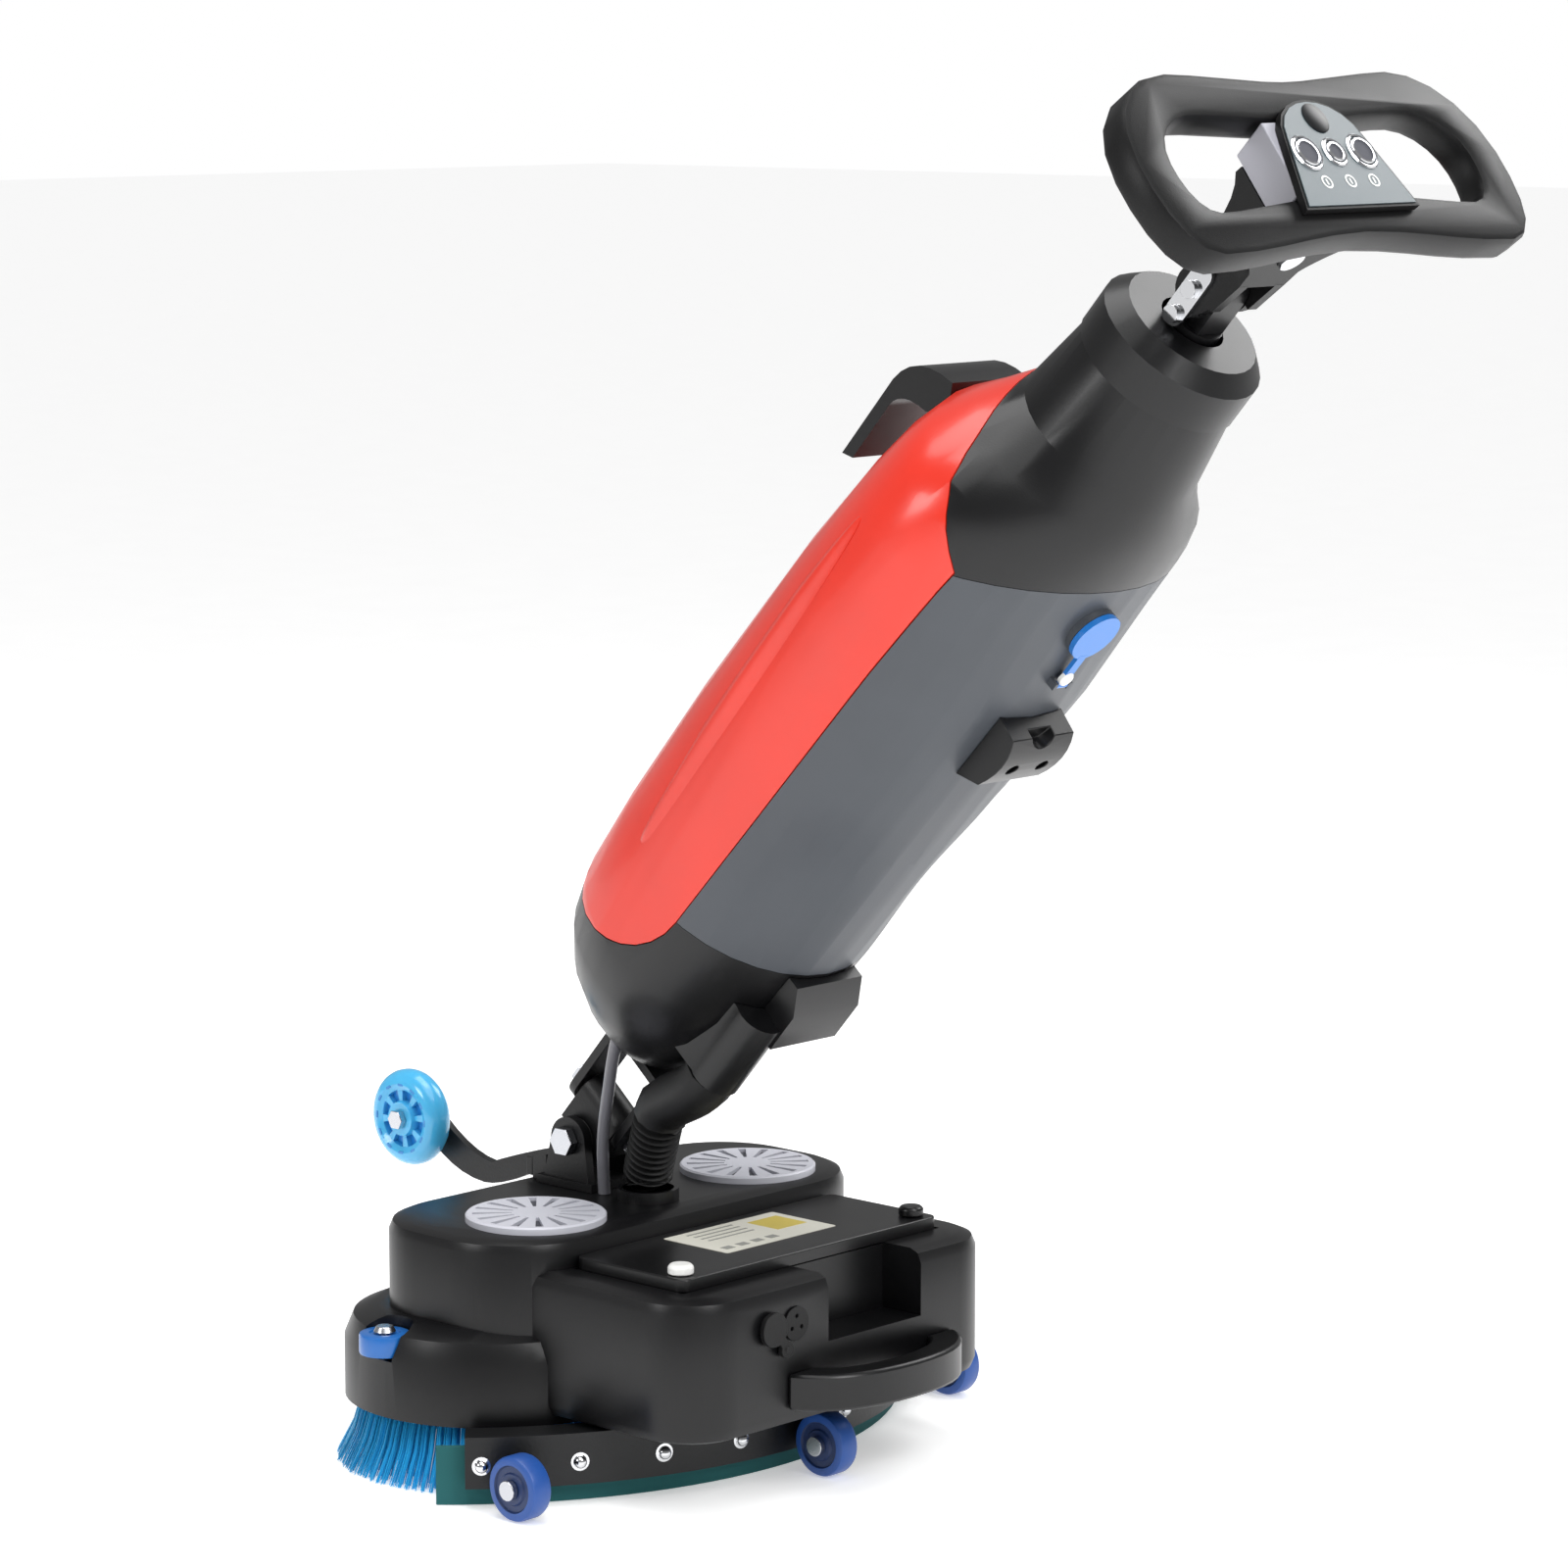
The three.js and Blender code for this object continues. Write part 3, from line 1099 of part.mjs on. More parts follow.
// ---------------------------------------------------------------- assembly
function buildHead(group) {
  piece(group, "deck_shell", deckShell(), "shell");
  piece(group, "chassis_plate", chassisPlate(), "steel");
  piece(group, "battery_pack", batteryPack(), "shell");
  piece(group, "battery_lid", batteryLid(), "shell");
  piece(group, "charge_socket", chargeSocket(), "rubber");
  piece(group, "socket_cap", socketCap(), "rubber");
  piece(group, "carry_handle", carryHandle(), "shell");
  for (const [side, name] of [[-1, "left"], [1, "right"]]) {
    piece(group, `brush_motor_${name}`, brushMotor(side), "steel");
    piece(group, `fan_cover_${name}`, fanCover().translate([side * FAN.x, FAN.y, 0]), "pale");
    piece(group, `brush_disc_${name}`, brushDisc(side), "shell");
    piece(group, `bristles_${name}`, bristles(side), "bristle");
    piece(group, `bumper_roller_${name}`, bumperRoller(side), "blue");
    piece(group, `bumper_pin_${name}`, bumperPin(side), "bright");
    piece(group, `lid_knob_${name}`, lidKnob(side), side < 0 ? "white" : "shell");
  }
  piece(group, "squeegee_channel", squeegeeChannel(), "steel");
  piece(group, "squeegee_blade", squeegeeBlade(), "teal");
  for (const caster of casters()) {
    piece(group, `squeegee_wheel_${caster.name}`, casterWheel(caster), "blue");
    piece(group, `squeegee_axle_${caster.name}`, casterAxle(caster), "bright");
  }
  piece(group, "transport_wheel", transportWheel(), "ice");
  piece(group, "wheel_arm", wheelArm(), "steel");
  piece(group, "transport_axle", transportAxle(), "bright");
  piece(group, "deck_yoke", deckYoke(), "steel");
  piece(group, "pitch_bolt", pitchBolt(), "bright");
  piece(group, "suction_hose", suctionHose(), "rubber");
  piece(group, "supply_tube", supplyTube(), "mist");
}

function buildUpright(machine) {
  const joint = new THREE.Group();
  joint.position.set(0, PIVOT.y, PIVOT.z);
  joint.rotation.x = rad(LEAN);
  machine.add(joint);
  piece(joint, "joint_cross", jointCross(), "steel");
  piece(joint, "roll_pin", rollPin(), "bright");
  piece(joint, "upright_yoke", uprightYoke(), "steel");

  const body = new THREE.Group();
  body.position.set(0, DATUM.back, DATUM.rise);
  joint.add(body);
  piece(body, "base_housing", baseHousing(), "shell");
  piece(body, "solution_tank", solutionTank(), "grey");
  piece(body, "recovery_tank", recoveryTank(), "red");
  piece(body, "neck_housing", neckHousing(), "shell");
  piece(body, "stem", stem(), "shell");
  piece(body, "hinge_plate", hingePlate(), "bright");
  piece(body, "front_grip", frontGrip(), "shell");
  piece(body, "rear_hook", rearHook(), "shell");
  piece(body, "exhaust_box", exhaustBox(), "shell");
  piece(body, "suction_cuff", suctionCuff(), "rubber");
  piece(body, "vacuum_motor", vacuumMotor(), "steel");
  piece(body, "solution_pump", solutionPump(), "shell");
  piece(body, "fill_cap", fillCap(), "sky");
}

function buildHandle(machine) {
  const handle = new THREE.Group();
  handle.position.set(0, HANDLE.y, HANDLE.z);
  handle.rotation.x = rad(HANDLE.tilt);
  machine.add(handle);
  const fold = new THREE.Vector3(...fromBody(0, COLLAR.back, STEM.fold));
  handle.updateMatrix();
  fold.applyMatrix4(handle.matrix.clone().invert());
  piece(handle, "handle_loop", handleLoop(fold.z, fold.y), "rubber");
  piece(handle, "control_box", controlBox(), "mist");
  piece(handle, "control_panel", controlPanel(), "slate");
  for (const [side, name] of [[-1, "left"], [0, "middle"], [1, "right"]]) {
    piece(handle, `button_${name}`, pushButton(side), "bright");
  }
  piece(handle, "release_button", releaseButton(), "bright");
}

const machine = new THREE.Group();
buildHead(machine);
buildUpright(machine);
buildHandle(machine);

// The origin stands under the middle of the whole machine.
const scrubber = new THREE.Group();
scrubber.add(machine);
scrubber.updateMatrixWorld(true);
const reach = new THREE.Box3().setFromObject(scrubber, true);
machine.position.set(0, -(reach.min.y + reach.max.y) / 2, 0);

export default scrubber;
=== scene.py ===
"""Looks of a compact walk-behind floor scrubber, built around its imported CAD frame.

Every length is in metres, in the frame of the CAD part: X to the operator's right, Y the way
the machine travels, Z up. Sizes that the frame can give are read from it.
"""

import json
import logging
import math
import random
from dataclasses import dataclass, field
from enum import Enum
from typing import Callable, Iterable, Sequence

import bmesh
import bpy
from mathutils import Matrix, Vector

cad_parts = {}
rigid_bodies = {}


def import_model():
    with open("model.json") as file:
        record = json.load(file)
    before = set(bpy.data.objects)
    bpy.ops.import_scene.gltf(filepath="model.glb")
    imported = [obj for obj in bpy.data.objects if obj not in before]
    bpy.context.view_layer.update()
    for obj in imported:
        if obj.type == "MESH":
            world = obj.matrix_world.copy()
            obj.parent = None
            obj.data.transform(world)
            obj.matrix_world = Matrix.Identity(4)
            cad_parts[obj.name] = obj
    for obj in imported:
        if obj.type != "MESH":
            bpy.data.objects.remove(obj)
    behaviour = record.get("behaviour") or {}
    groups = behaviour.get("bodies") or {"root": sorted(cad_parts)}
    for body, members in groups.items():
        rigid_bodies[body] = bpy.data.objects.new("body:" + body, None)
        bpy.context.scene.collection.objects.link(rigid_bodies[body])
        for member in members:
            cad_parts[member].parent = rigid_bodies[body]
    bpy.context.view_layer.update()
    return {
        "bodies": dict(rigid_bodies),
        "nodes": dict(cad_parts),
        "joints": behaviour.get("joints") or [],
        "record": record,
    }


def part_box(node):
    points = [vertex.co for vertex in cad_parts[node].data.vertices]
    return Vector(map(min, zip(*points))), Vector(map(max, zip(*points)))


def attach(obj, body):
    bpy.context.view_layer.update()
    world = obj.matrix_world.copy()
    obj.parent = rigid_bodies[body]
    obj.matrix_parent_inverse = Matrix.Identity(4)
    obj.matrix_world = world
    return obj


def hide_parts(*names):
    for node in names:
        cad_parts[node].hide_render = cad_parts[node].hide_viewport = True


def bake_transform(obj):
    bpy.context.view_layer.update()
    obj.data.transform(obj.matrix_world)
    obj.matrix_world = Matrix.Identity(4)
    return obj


LOG = logging.getLogger("scrubber")
MM = 0.001
SHIFT = 0.175537  # of the part's frame from the middle of the fan covers, along Y
LEAN = math.radians(41.4)  # of the upright, back from vertical
TILT = math.radians(53.5)  # of the handle's plane
SMOOTH_ANGLE = math.radians(32)
LEAN_PIVOT = (0, 53, 207)  # millimetres, of the joint between head and upright
BODY_FOOT = (0, 1.3, 77.5)  # millimetres, of the tank body from that pivot
LOOP_MIDDLE = (0, -581, 906)  # millimetres, of the handle
CAP_HEIGHT = 528  # millimetres up the tank body, of the fill cap
CATCH_HEIGHT = 490  # millimetres up the tank body, of the strap's catch


# ---------------------------------------------------------------- frames
def machine(x: float, y: float, z: float) -> Vector:
    """A point in millimetres about the fan covers' line, in metres in the part's frame."""
    return Vector((x * MM, y * MM + SHIFT, z * MM))


def upright_frame() -> Matrix:
    """The frame of the tank body: its Z runs up the tank, its Y to the front, in metres."""
    pivot = Matrix.Translation(machine(*LEAN_PIVOT))
    return pivot @ Matrix.Rotation(LEAN, 4, "X") @ Matrix.Translation(Vector(BODY_FOOT) * MM)


def handle_frame() -> Matrix:
    """The frame of the handle: its Y runs forward in the loop's plane, its Z out of the panel."""
    return Matrix.Translation(machine(*LOOP_MIDDLE)) @ Matrix.Rotation(TILT, 4, "X")


SECTIONS = (
    (17, 26, 24, 8), (25, 40, 36, 11), (40, 58, 52, 15), (62, 77, 70, 18), (92, 93, 85, 19),
    (125, 101, 93, 19), (190, 106, 96, 19), (300, 114, 97, 17), (450, 126, 95, 11),
    (530, 130, 88, 9), (570, 126, 85, 6), (592, 115, 82, 4), (612, 90, 74, -2),
    (636, 66, 64, -7), (694, 56, 56, -7),
)


def section_at(height: float) -> tuple[float, float, float]:
    """The tank body's half width, half depth and forward offset at a height, in millimetres.

    Args:
        height: Height up the body in millimetres.

    Returns:
        The three sizes, in millimetres.
    """
    for low, high in zip(SECTIONS, SECTIONS[1:]):
        if height <= high[0]:
            share = max(0.0, (height - low[0]) / (high[0] - low[0]))
            return tuple(a + share * (b - a) for a, b in zip(low[1:], high[1:]))
    return SECTIONS[-1][1:]


# ---------------------------------------------------------------- finishes
def linear(colour: str) -> tuple[float, float, float, float]:
    """An sRGB hex colour as a linear RGBA colour.

    Args:
        colour: Six hex digits after a hash.

    Returns:
        The four channels, with full opacity.
    """
    def channel(value: int) -> float:
        """One channel from 0 to 255, made linear."""
        share = value / 255
        return share / 12.92 if share <= 0.04045 else ((share + 0.055) / 1.055) ** 2.4

    return tuple(channel(int(colour[at:at + 2], 16)) for at in (1, 3, 5)) + (1.0,)


def add_node(tree: bpy.types.NodeTree, kind: str, links: dict | None = None,
             **settings: object) -> bpy.types.Node:
    """Adds one shader node.

    Args:
        tree: The tree that gets the node.
        kind: The node's type name.
        links: Output sockets by the name or index of the input that each one feeds.
        **settings: Attributes of the node, or values of inputs given by name.

    Returns:
        The new node.
    """
    node = tree.nodes.new(kind)
    for name, value in settings.items():
        if hasattr(node, name):
            setattr(node, name, value)
        else:
            node.inputs[name.replace("_", " ")].default_value = value
    for name, output in (links or {}).items():
        tree.links.new(output, node.inputs[name])
    return node


class Grain(Enum):
    """How a surface's fine relief runs."""

    EVEN = (1.0, 1.0, 1.0)
    ALONG_X = (0.05, 1.0, 1.0)
    ALONG_Z = (1.0, 1.0, 0.05)


@dataclass(frozen=True)
class Finish:
    """A moulded, coated, drawn or cast surface with its own grain and mottling."""

    name: str
    colour: str
    roughness: float
    metallic: float = 0.0
    grain_mm: float = 1.2  # a finer grain would not show
    relief: float = 0.12
    mottle: float = 0.10  # how far the colour drifts over a hand's breadth
    coat: float = 0.0
    sheen: float = 0.0
    subsurface: float = 0.0
    specular: float = 0.5
    grain: Grain = Grain.EVEN
    wear: str = ""  # colour of fine scuffs, where there are any

    def build(self) -> bpy.types.Material:
        """Makes the material, or finds the one made before.

        Returns:
            The material.
        """
        found = bpy.data.materials.get(self.name)
        if found:
            return found
        material = bpy.data.materials.new(self.name)
        material.use_nodes = True
        tree = material.node_tree
        shader = tree.nodes["Principled BSDF"]
        shader.inputs["Metallic"].default_value = self.metallic
        shader.inputs["Coat Weight"].default_value = self.coat
        shader.inputs["Coat Roughness"].default_value = 0.12
        shader.inputs["Sheen Weight"].default_value = self.sheen
        shader.inputs["Specular IOR Level"].default_value = self.specular
        shader.inputs["Subsurface Weight"].default_value = self.subsurface
        shader.inputs["Subsurface Radius"].default_value = (0.004, 0.006, 0.008)
        place = add_node(tree, "ShaderNodeTexCoord")
        turned = add_node(tree, "ShaderNodeMapping", {"Vector": place.outputs["Object"]})
        turned.inputs["Scale"].default_value = self.grain.value
        broad = add_node(tree, "ShaderNodeTexNoise", {"Vector": place.outputs["Object"]},
                         Scale=11.0, Detail=4.0)
        fine = add_node(tree, "ShaderNodeTexNoise", {"Vector": turned.outputs["Vector"]},
                        Scale=1.0 / (self.grain_mm * MM), Detail=3.0)
        base = linear(self.colour)
        ramp = add_node(tree, "ShaderNodeValToRGB", {"Fac": broad.outputs["Fac"]})
        dark, light = ramp.color_ramp.elements
        dark.position, light.position = 0.3, 0.7
        dark.color = tuple(c * (1 - self.mottle) for c in base[:3]) + (1.0,)
        light.color = tuple(min(1.0, c * (1 + self.mottle)) for c in base[:3]) + (1.0,)
        colour = ramp.outputs["Color"]
        if self.wear:
            scuff = add_node(tree, "ShaderNodeTexNoise", {"Vector": place.outputs["Object"]},
                             Scale=160.0, Detail=6.0, Roughness=0.75)
            mask = add_node(tree, "ShaderNodeMapRange", {"Value": scuff.outputs["Fac"]},
                            From_Min=0.66, From_Max=0.74, To_Min=0.0, To_Max=0.5)
            mixed = add_node(tree, "ShaderNodeMix", {0: mask.outputs["Result"], 6: colour}, data_type="RGBA")
            mixed.inputs[7].default_value = linear(self.wear)
            colour = mixed.outputs[2]
        tree.links.new(colour, shader.inputs["Base Color"])
        rough = add_node(tree, "ShaderNodeMapRange", {"Value": broad.outputs["Fac"]},
                         To_Min=max(0.02, self.roughness - 0.06), To_Max=self.roughness + 0.06)
        tree.links.new(rough.outputs["Result"], shader.inputs["Roughness"])
        bump = add_node(tree, "ShaderNodeBump", {"Height": fine.outputs["Fac"]},
                        Strength=self.relief, Distance=0.0004)
        tree.links.new(bump.outputs["Normal"], shader.inputs["Normal"])
        return material


# ABS mouldings: an even low gloss with a fine spark-eroded grain.
BLACK_ABS = Finish("black_abs", "#0A0A0C", 0.33, specular=0.42, coat=0.05, mottle=0.18)
DECK_ABS = Finish("deck_abs", "#0A0A0C", 0.36, specular=0.40, mottle=0.2, wear="#1A1A1E")
GREY_TANK = Finish("grey_polyethylene", "#45494F", 0.42, mottle=0.07, grain_mm=1.6)
RED_TANK = Finish("red_abs", "#DF2F1C", 0.3, coat=0.25, mottle=0.05, relief=0.05)
# Over-moulded rubber: matt, a little dusty on its high spots.
GRIP_RUBBER = Finish("grip_rubber", "#0B0B0C", 0.42, specular=0.28, grain_mm=0.9, relief=0.25)
SOFT_RUBBER = Finish("soft_rubber", "#0B0B0C", 0.5, specular=0.35, grain_mm=0.8, relief=0.3)
# Powder coat: orange-peel on steel.
POWDER_BLACK = Finish("black_powder_coat", "#0B0B0D", 0.42, specular=0.42, grain_mm=2.2, relief=0.3,
                      wear="#222225")
CHANNEL_BLACK = Finish("coated_casting", "#0B0C0E", 0.44, specular=0.42, grain_mm=2.6, relief=0.4,
                       wear="#26262A")
ZINC = Finish("bright_zinc", "#C9CBD0", 0.24, metallic=1.0, grain_mm=0.5, mottle=0.12, grain=Grain.ALONG_X)
CHROME = Finish("chrome", "#D8DADF", 0.12, metallic=1.0, grain_mm=0.4, relief=0.04, mottle=0.06)
CAST = Finish("cast_aluminium", "#8E9095", 0.46, metallic=1.0, grain_mm=1.4, relief=0.5)
PALE_GREY = Finish("pale_grey_abs", "#C9CAD3", 0.42, mottle=0.04)
# Painted shade on the sunk walls and floors of the fan-cover and vent slots; the same dark grey is also the
# push buttons' own middle.
SLOT_DARK = Finish("painted_slot_shade_and_button_grey", "#4A4B53", 0.7, mottle=0.1)
MIST_GREY = Finish("mist_grey_abs", "#A9A9B2", 0.4, mottle=0.05)
TUBE_GREY = Finish("smoked_tube", "#6E6E74", 0.3, coat=0.3, mottle=0.1)
SLATE_FILM = Finish("slate_film", "#4D595E", 0.36, coat=0.2, grain_mm=0.8, mottle=0.06)
DISPLAY = Finish("display_window", "#0D0F12", 0.34, specular=0.3, relief=0.02)
WHITE = Finish("white_abs", "#EDEDEA", 0.32, mottle=0.03)
CREAM = Finish("label_film", "#E8E6D9", 0.38, mottle=0.04)
YELLOW = Finish("label_yellow", "#DCC65A", 0.4, mottle=0.08)
PRINT_GREY = Finish("label_print", "#9A9A94", 0.45, mottle=0.08)
ROLLER_BLUE = Finish("blue_nylon", "#1D66B4", 0.3, coat=0.2, mottle=0.07)
TYRE_BLUE = Finish("blue_tyre", "#214F9A", 0.4, mottle=0.08, wear="#4A7CC4")
HUB_BLUE = Finish("dark_blue_hub", "#162E5C", 0.42, mottle=0.08)
CAP_BLUE = Finish("sky_blue_cap", "#1F78CE", 0.3, coat=0.25, mottle=0.05)
ICE_BLUE = Finish("cast_polyurethane", "#4DB7E8", 0.16, coat=0.4, subsurface=0.25, mottle=0.05, relief=0.03)
SPOKE_BLUE = Finish("wheel_core_blue", "#2583CC", 0.26, coat=0.3, mottle=0.08)
NYLON_BLUE = Finish("bristle_nylon", "#2BA5DA", 0.42, grain_mm=0.5, mottle=0.22, grain=Grain.ALONG_Z)
TEAL = Finish("teal_rubber", "#0B4A48", 0.5, mottle=0.1, sheen=0.1)


# ---------------------------------------------------------------- making pieces
@dataclass
class Maker:
    """Makes pieces from bmeshes and from CAD nodes, and hands them to the frame."""

    nodes: dict
    node_body: dict = field(default_factory=dict)
    node_slot: dict = field(default_factory=dict)

    def read(self, record: dict) -> None:
        """Notes which body and which material slot each CAD node has.

        Args:
            record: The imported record.
        """
        for body, members in record["behaviour"]["bodies"].items():
            self.node_body.update({node: body for node in members})
        self.node_slot.update({row["node"]: row["material_slot"] for row in record["subparts"]})

    def place(self, name: str, bm: bmesh.types.BMesh, finishes: Sequence[Finish], body: str, slot: str,
              frame: Matrix | None = None, stands_for: Sequence[str] = (), bevel_mm: float = 0.0,
              bends: tuple | None = None, angle: float = SMOOTH_ANGLE) -> bpy.types.Object:
        """Turns a bmesh into a finished piece.

        Args:
            name: The piece's name.
            bm: Its shape, which is freed.
            finishes: Its materials, by material index.
            body: The CAD body it rides on, unless bends is given.
            slot: The record's material slot. Not used.
            frame: Where its own axes lie, if it isn't drawn in place.
            stands_for: The CAD nodes that it replaces.
            bevel_mm: The width of the bevel on its sharp edges.
            bends: (body, body, start, end) where it crosses a joint. Only whether it is given is used: the
                piece then stays in place on no body.
            angle: The turn between faces above which an edge stays sharp.

        Returns:
            The new object.
        """
        if frame is not None:
            bmesh.ops.transform(bm, matrix=frame, verts=bm.verts)
        bm.normal_update()
        for face in bm.faces:
            face.smooth = True
        for edge in bm.edges:
            edge.smooth = not (len(edge.link_faces) == 2 and edge.calc_face_angle(0.0) > angle)
        mesh = bpy.data.meshes.new(name)
        bm.to_mesh(mesh)
        bm.free()
        for finish in finishes:
            mesh.materials.append(finish.build())
        piece = bpy.data.objects.new(name, mesh)
        bpy.context.scene.collection.objects.link(piece)
        if bevel_mm > 0:
            bevel = piece.modifiers.new("edges", "BEVEL")
            bevel.width = bevel_mm * MM
            bevel.segments = 2
            bevel.limit_method = "ANGLE"
            bevel.angle_limit = math.radians(38)
            bevel.use_clamp_overlap = True
        if bends:
            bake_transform(piece)
        else:
            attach(piece, body)
        if stands_for:
            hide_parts(*stands_for)
        LOG.info("%s: %d faces", name, len(mesh.polygons))
        return piece

    def copy_of(self, node: str) -> bmesh.types.BMesh:
        """A CAD node's shape with its corners joined and its flat faces whole.

        Args:
            node: The CAD node.

        Returns:
            A new bmesh, in place.
        """
        bm = bmesh.new()
        bm.from_mesh(self.nodes[node].data)
        bmesh.ops.remove_doubles(bm, verts=bm.verts, dist=2e-6)
        bmesh.ops.dissolve_limit(bm, angle_limit=math.radians(0.6), verts=bm.verts, edges=bm.edges)
        return bm

    def refine(self, node: str, finish: Finish, bevel_mm: float = 0.0, angle: float = SMOOTH_ANGLE,
               shape: Callable | None = None) -> bpy.types.Object:
        """Stands a smooth copy of a CAD node in its place.

        Args:
            node: The CAD node.
            finish: Its material.
            bevel_mm: The width of the bevel on its edges.
            angle: The turn above which an edge stays sharp.
            shape: A function that works the copy further.

        Returns:
            The new object.
        """
        bm = self.copy_of(node)
        if shape:
            shape(bm)
        return self.place(f"{node}_shape", bm, [finish], self.node_body[node], self.node_slot[node],
                          stands_for=[node], bevel_mm=bevel_mm, angle=angle)


def spun(profile: Iterable[tuple[float, float]], steps: int) -> bmesh.types.BMesh:
    """A closed shape turned about Z.

    Args:
        profile: Radius and height of each point in millimetres, from the axis back to the axis,
            or a closed outline that repeats its first point.
        steps: How many sides it has.

    Returns:
        The shape, in metres.
    """
    bm = bmesh.new()
    row = [bm.verts.new((radius * MM, 0.0, height * MM)) for radius, height in profile]
    edges = [bm.edges.new(pair) for pair in zip(row, row[1:])]
    bmesh.ops.spin(bm, geom=row + edges, cent=(0, 0, 0), axis=(0, 0, 1), angle=math.tau,
                   steps=steps, use_merge=True, use_normal_flip=False, use_duplicate=False, dvec=(0, 0, 0))
    bmesh.ops.remove_doubles(bm, verts=bm.verts, dist=1e-6)
    bmesh.ops.recalc_face_normals(bm, faces=bm.faces)
    return bm


def absorb(whole: bmesh.types.BMesh, part: bmesh.types.BMesh) -> None:
    """Adds one bmesh to another and frees it.

    Args:
        whole: The bmesh that grows.
        part: The bmesh that goes into it.
    """
    mesh = bpy.data.meshes.new("part")
    part.to_mesh(mesh)
    part.free()
    whole.from_mesh(mesh)
    bpy.data.meshes.remove(mesh)


def joined(*parts: bmesh.types.BMesh) -> bmesh.types.BMesh:
    """Several bmeshes as one, which frees the parts.

    Args:
        *parts: The bmeshes.

    Returns:
        The new bmesh.
    """
    whole = bmesh.new()
    for part in parts:
        absorb(whole, part)
    return whole


def next_ring(bm: bmesh.types.BMesh, edges: list, step: Matrix) -> list:
    """Extrudes an open ring of edges and moves the new ring.

    Args:
        bm: The tube so far.
        edges: The edges of its open end.
        step: What takes the old ring to the new one.

    Returns:
        The edges of the new open end.
    """
    made = bmesh.ops.extrude_edge_only(bm, edges=edges)["geom"]
    ring = [g for g in made if isinstance(g, bmesh.types.BMVert)]
    bmesh.ops.transform(bm, matrix=step, verts=ring)
    return [g for g in made if isinstance(g, bmesh.types.BMEdge)
            and g.verts[0] in ring and g.verts[1] in ring]


def sector(point: Vector, sides: int) -> int:
    """Which of a turned shape's sides a point about Z lies in."""
    return int((math.degrees(math.atan2(point.y, point.x)) % 360) / (360 / sides))


def moved(bm: bmesh.types.BMesh, matrix: Matrix) -> bmesh.types.BMesh:
    """The bmesh after a transform.

    Args:
        bm: The bmesh, which is changed.
        matrix: The transform.

    Returns:
        The same bmesh.
    """
    bmesh.ops.transform(bm, matrix=matrix, verts=bm.verts)
    return bm


def painted(bm: bmesh.types.BMesh, index: int) -> bmesh.types.BMesh:
    """The bmesh with all its faces in one material.

    Args:
        bm: The bmesh, which is changed.
        index: The material index.

    Returns:
        The same bmesh.
    """
    for face in bm.faces:
        face.material_index = index
    return bm


def aimed(point: Vector, direction: Vector) -> Matrix:
    """A frame at a point whose Z looks along a direction."""
    return Matrix.Translation(point) @ direction.to_track_quat("Z", "Y").to_matrix().to_4x4()


def plate(width: float, length: float, thick: float, round_mm: float = 0.0) -> bmesh.types.BMesh:
    """A thin block centred on Z, standing on Z=0, in millimetres, with round corners.

    Args:
        width: Its size along X.
        length: Its size along Y.
        thick: Its height.
        round_mm: The radius of its corners.

    Returns:
        The block, in metres.
    """
    bm = bmesh.new()
    bmesh.ops.create_cube(bm, size=1.0)
    scale = Matrix.Diagonal((width * MM, length * MM, thick * MM, 1.0))
    bmesh.ops.transform(bm, matrix=Matrix.Translation((0, 0, thick * MM / 2)) @ scale, verts=bm.verts)
    if round_mm > 0:
        upright = [e for e in bm.edges if abs(e.verts[0].co.z - e.verts[1].co.z) > thick * MM / 2]
        bmesh.ops.bevel(bm, geom=upright, offset=round_mm * MM, segments=4, profile=0.5,
                        affect="EDGES", material=-1)
    return bm


def dome_nut(radius: float) -> bmesh.types.BMesh:
    """A dome nut standing on Z=0: a thin washer, a hexagon's round shoulder and a dome.

    Args:
        radius: The shoulder's radius in millimetres.

    Returns:
        The nut, in metres.
    """
    high = radius * 1.15
    profile = [(0, -0.5), (radius * 1.35, -0.5), (radius * 1.35, 0.6), (radius * 1.02, 0.8), (radius, 1.4)]
    for step in range(7):
        turn = math.pi / 2 * step / 6
        profile.append((radius * 0.94 * math.cos(turn), 1.6 + (high - 1.6) * math.sin(turn)))
    return spun(profile, 20)


def swept(points: Sequence[Vector], radius_at: Callable[[float], float],
          sides: int = 20) -> bmesh.types.BMesh:
    """A closed tube along a route.

    Args:
        points: The route, evenly spaced, in metres.
        radius_at: The radius in metres at a distance along the route in metres.
        sides: How many sides the tube has.

    Returns:
        The tube, closed at both ends.
    """
    bm = bmesh.new()
    travelled = 0.0
    edges: list = []
    previous = Matrix.Identity(4)
    for index, point in enumerate(points):
        ahead = points[min(index + 1, len(points) - 1)] - points[max(index - 1, 0)]
        if index:
            travelled += (point - points[index - 1]).length
        frame = Matrix.Translation(point) @ ahead.to_track_quat("Z", "Y").to_matrix().to_4x4()
        frame = frame @ Matrix.Scale(radius_at(travelled), 4)
        if not edges:
            bmesh.ops.create_circle(bm, cap_ends=True, segments=sides, radius=1.0, matrix=frame)
            edges = list(bm.edges)
        else:
            edges = next_ring(bm, edges, frame @ previous.inverted())
        previous = frame
    bmesh.ops.edgeloop_fill(bm, edges=edges)
    bmesh.ops.recalc_face_normals(bm, faces=bm.faces)
    return bm


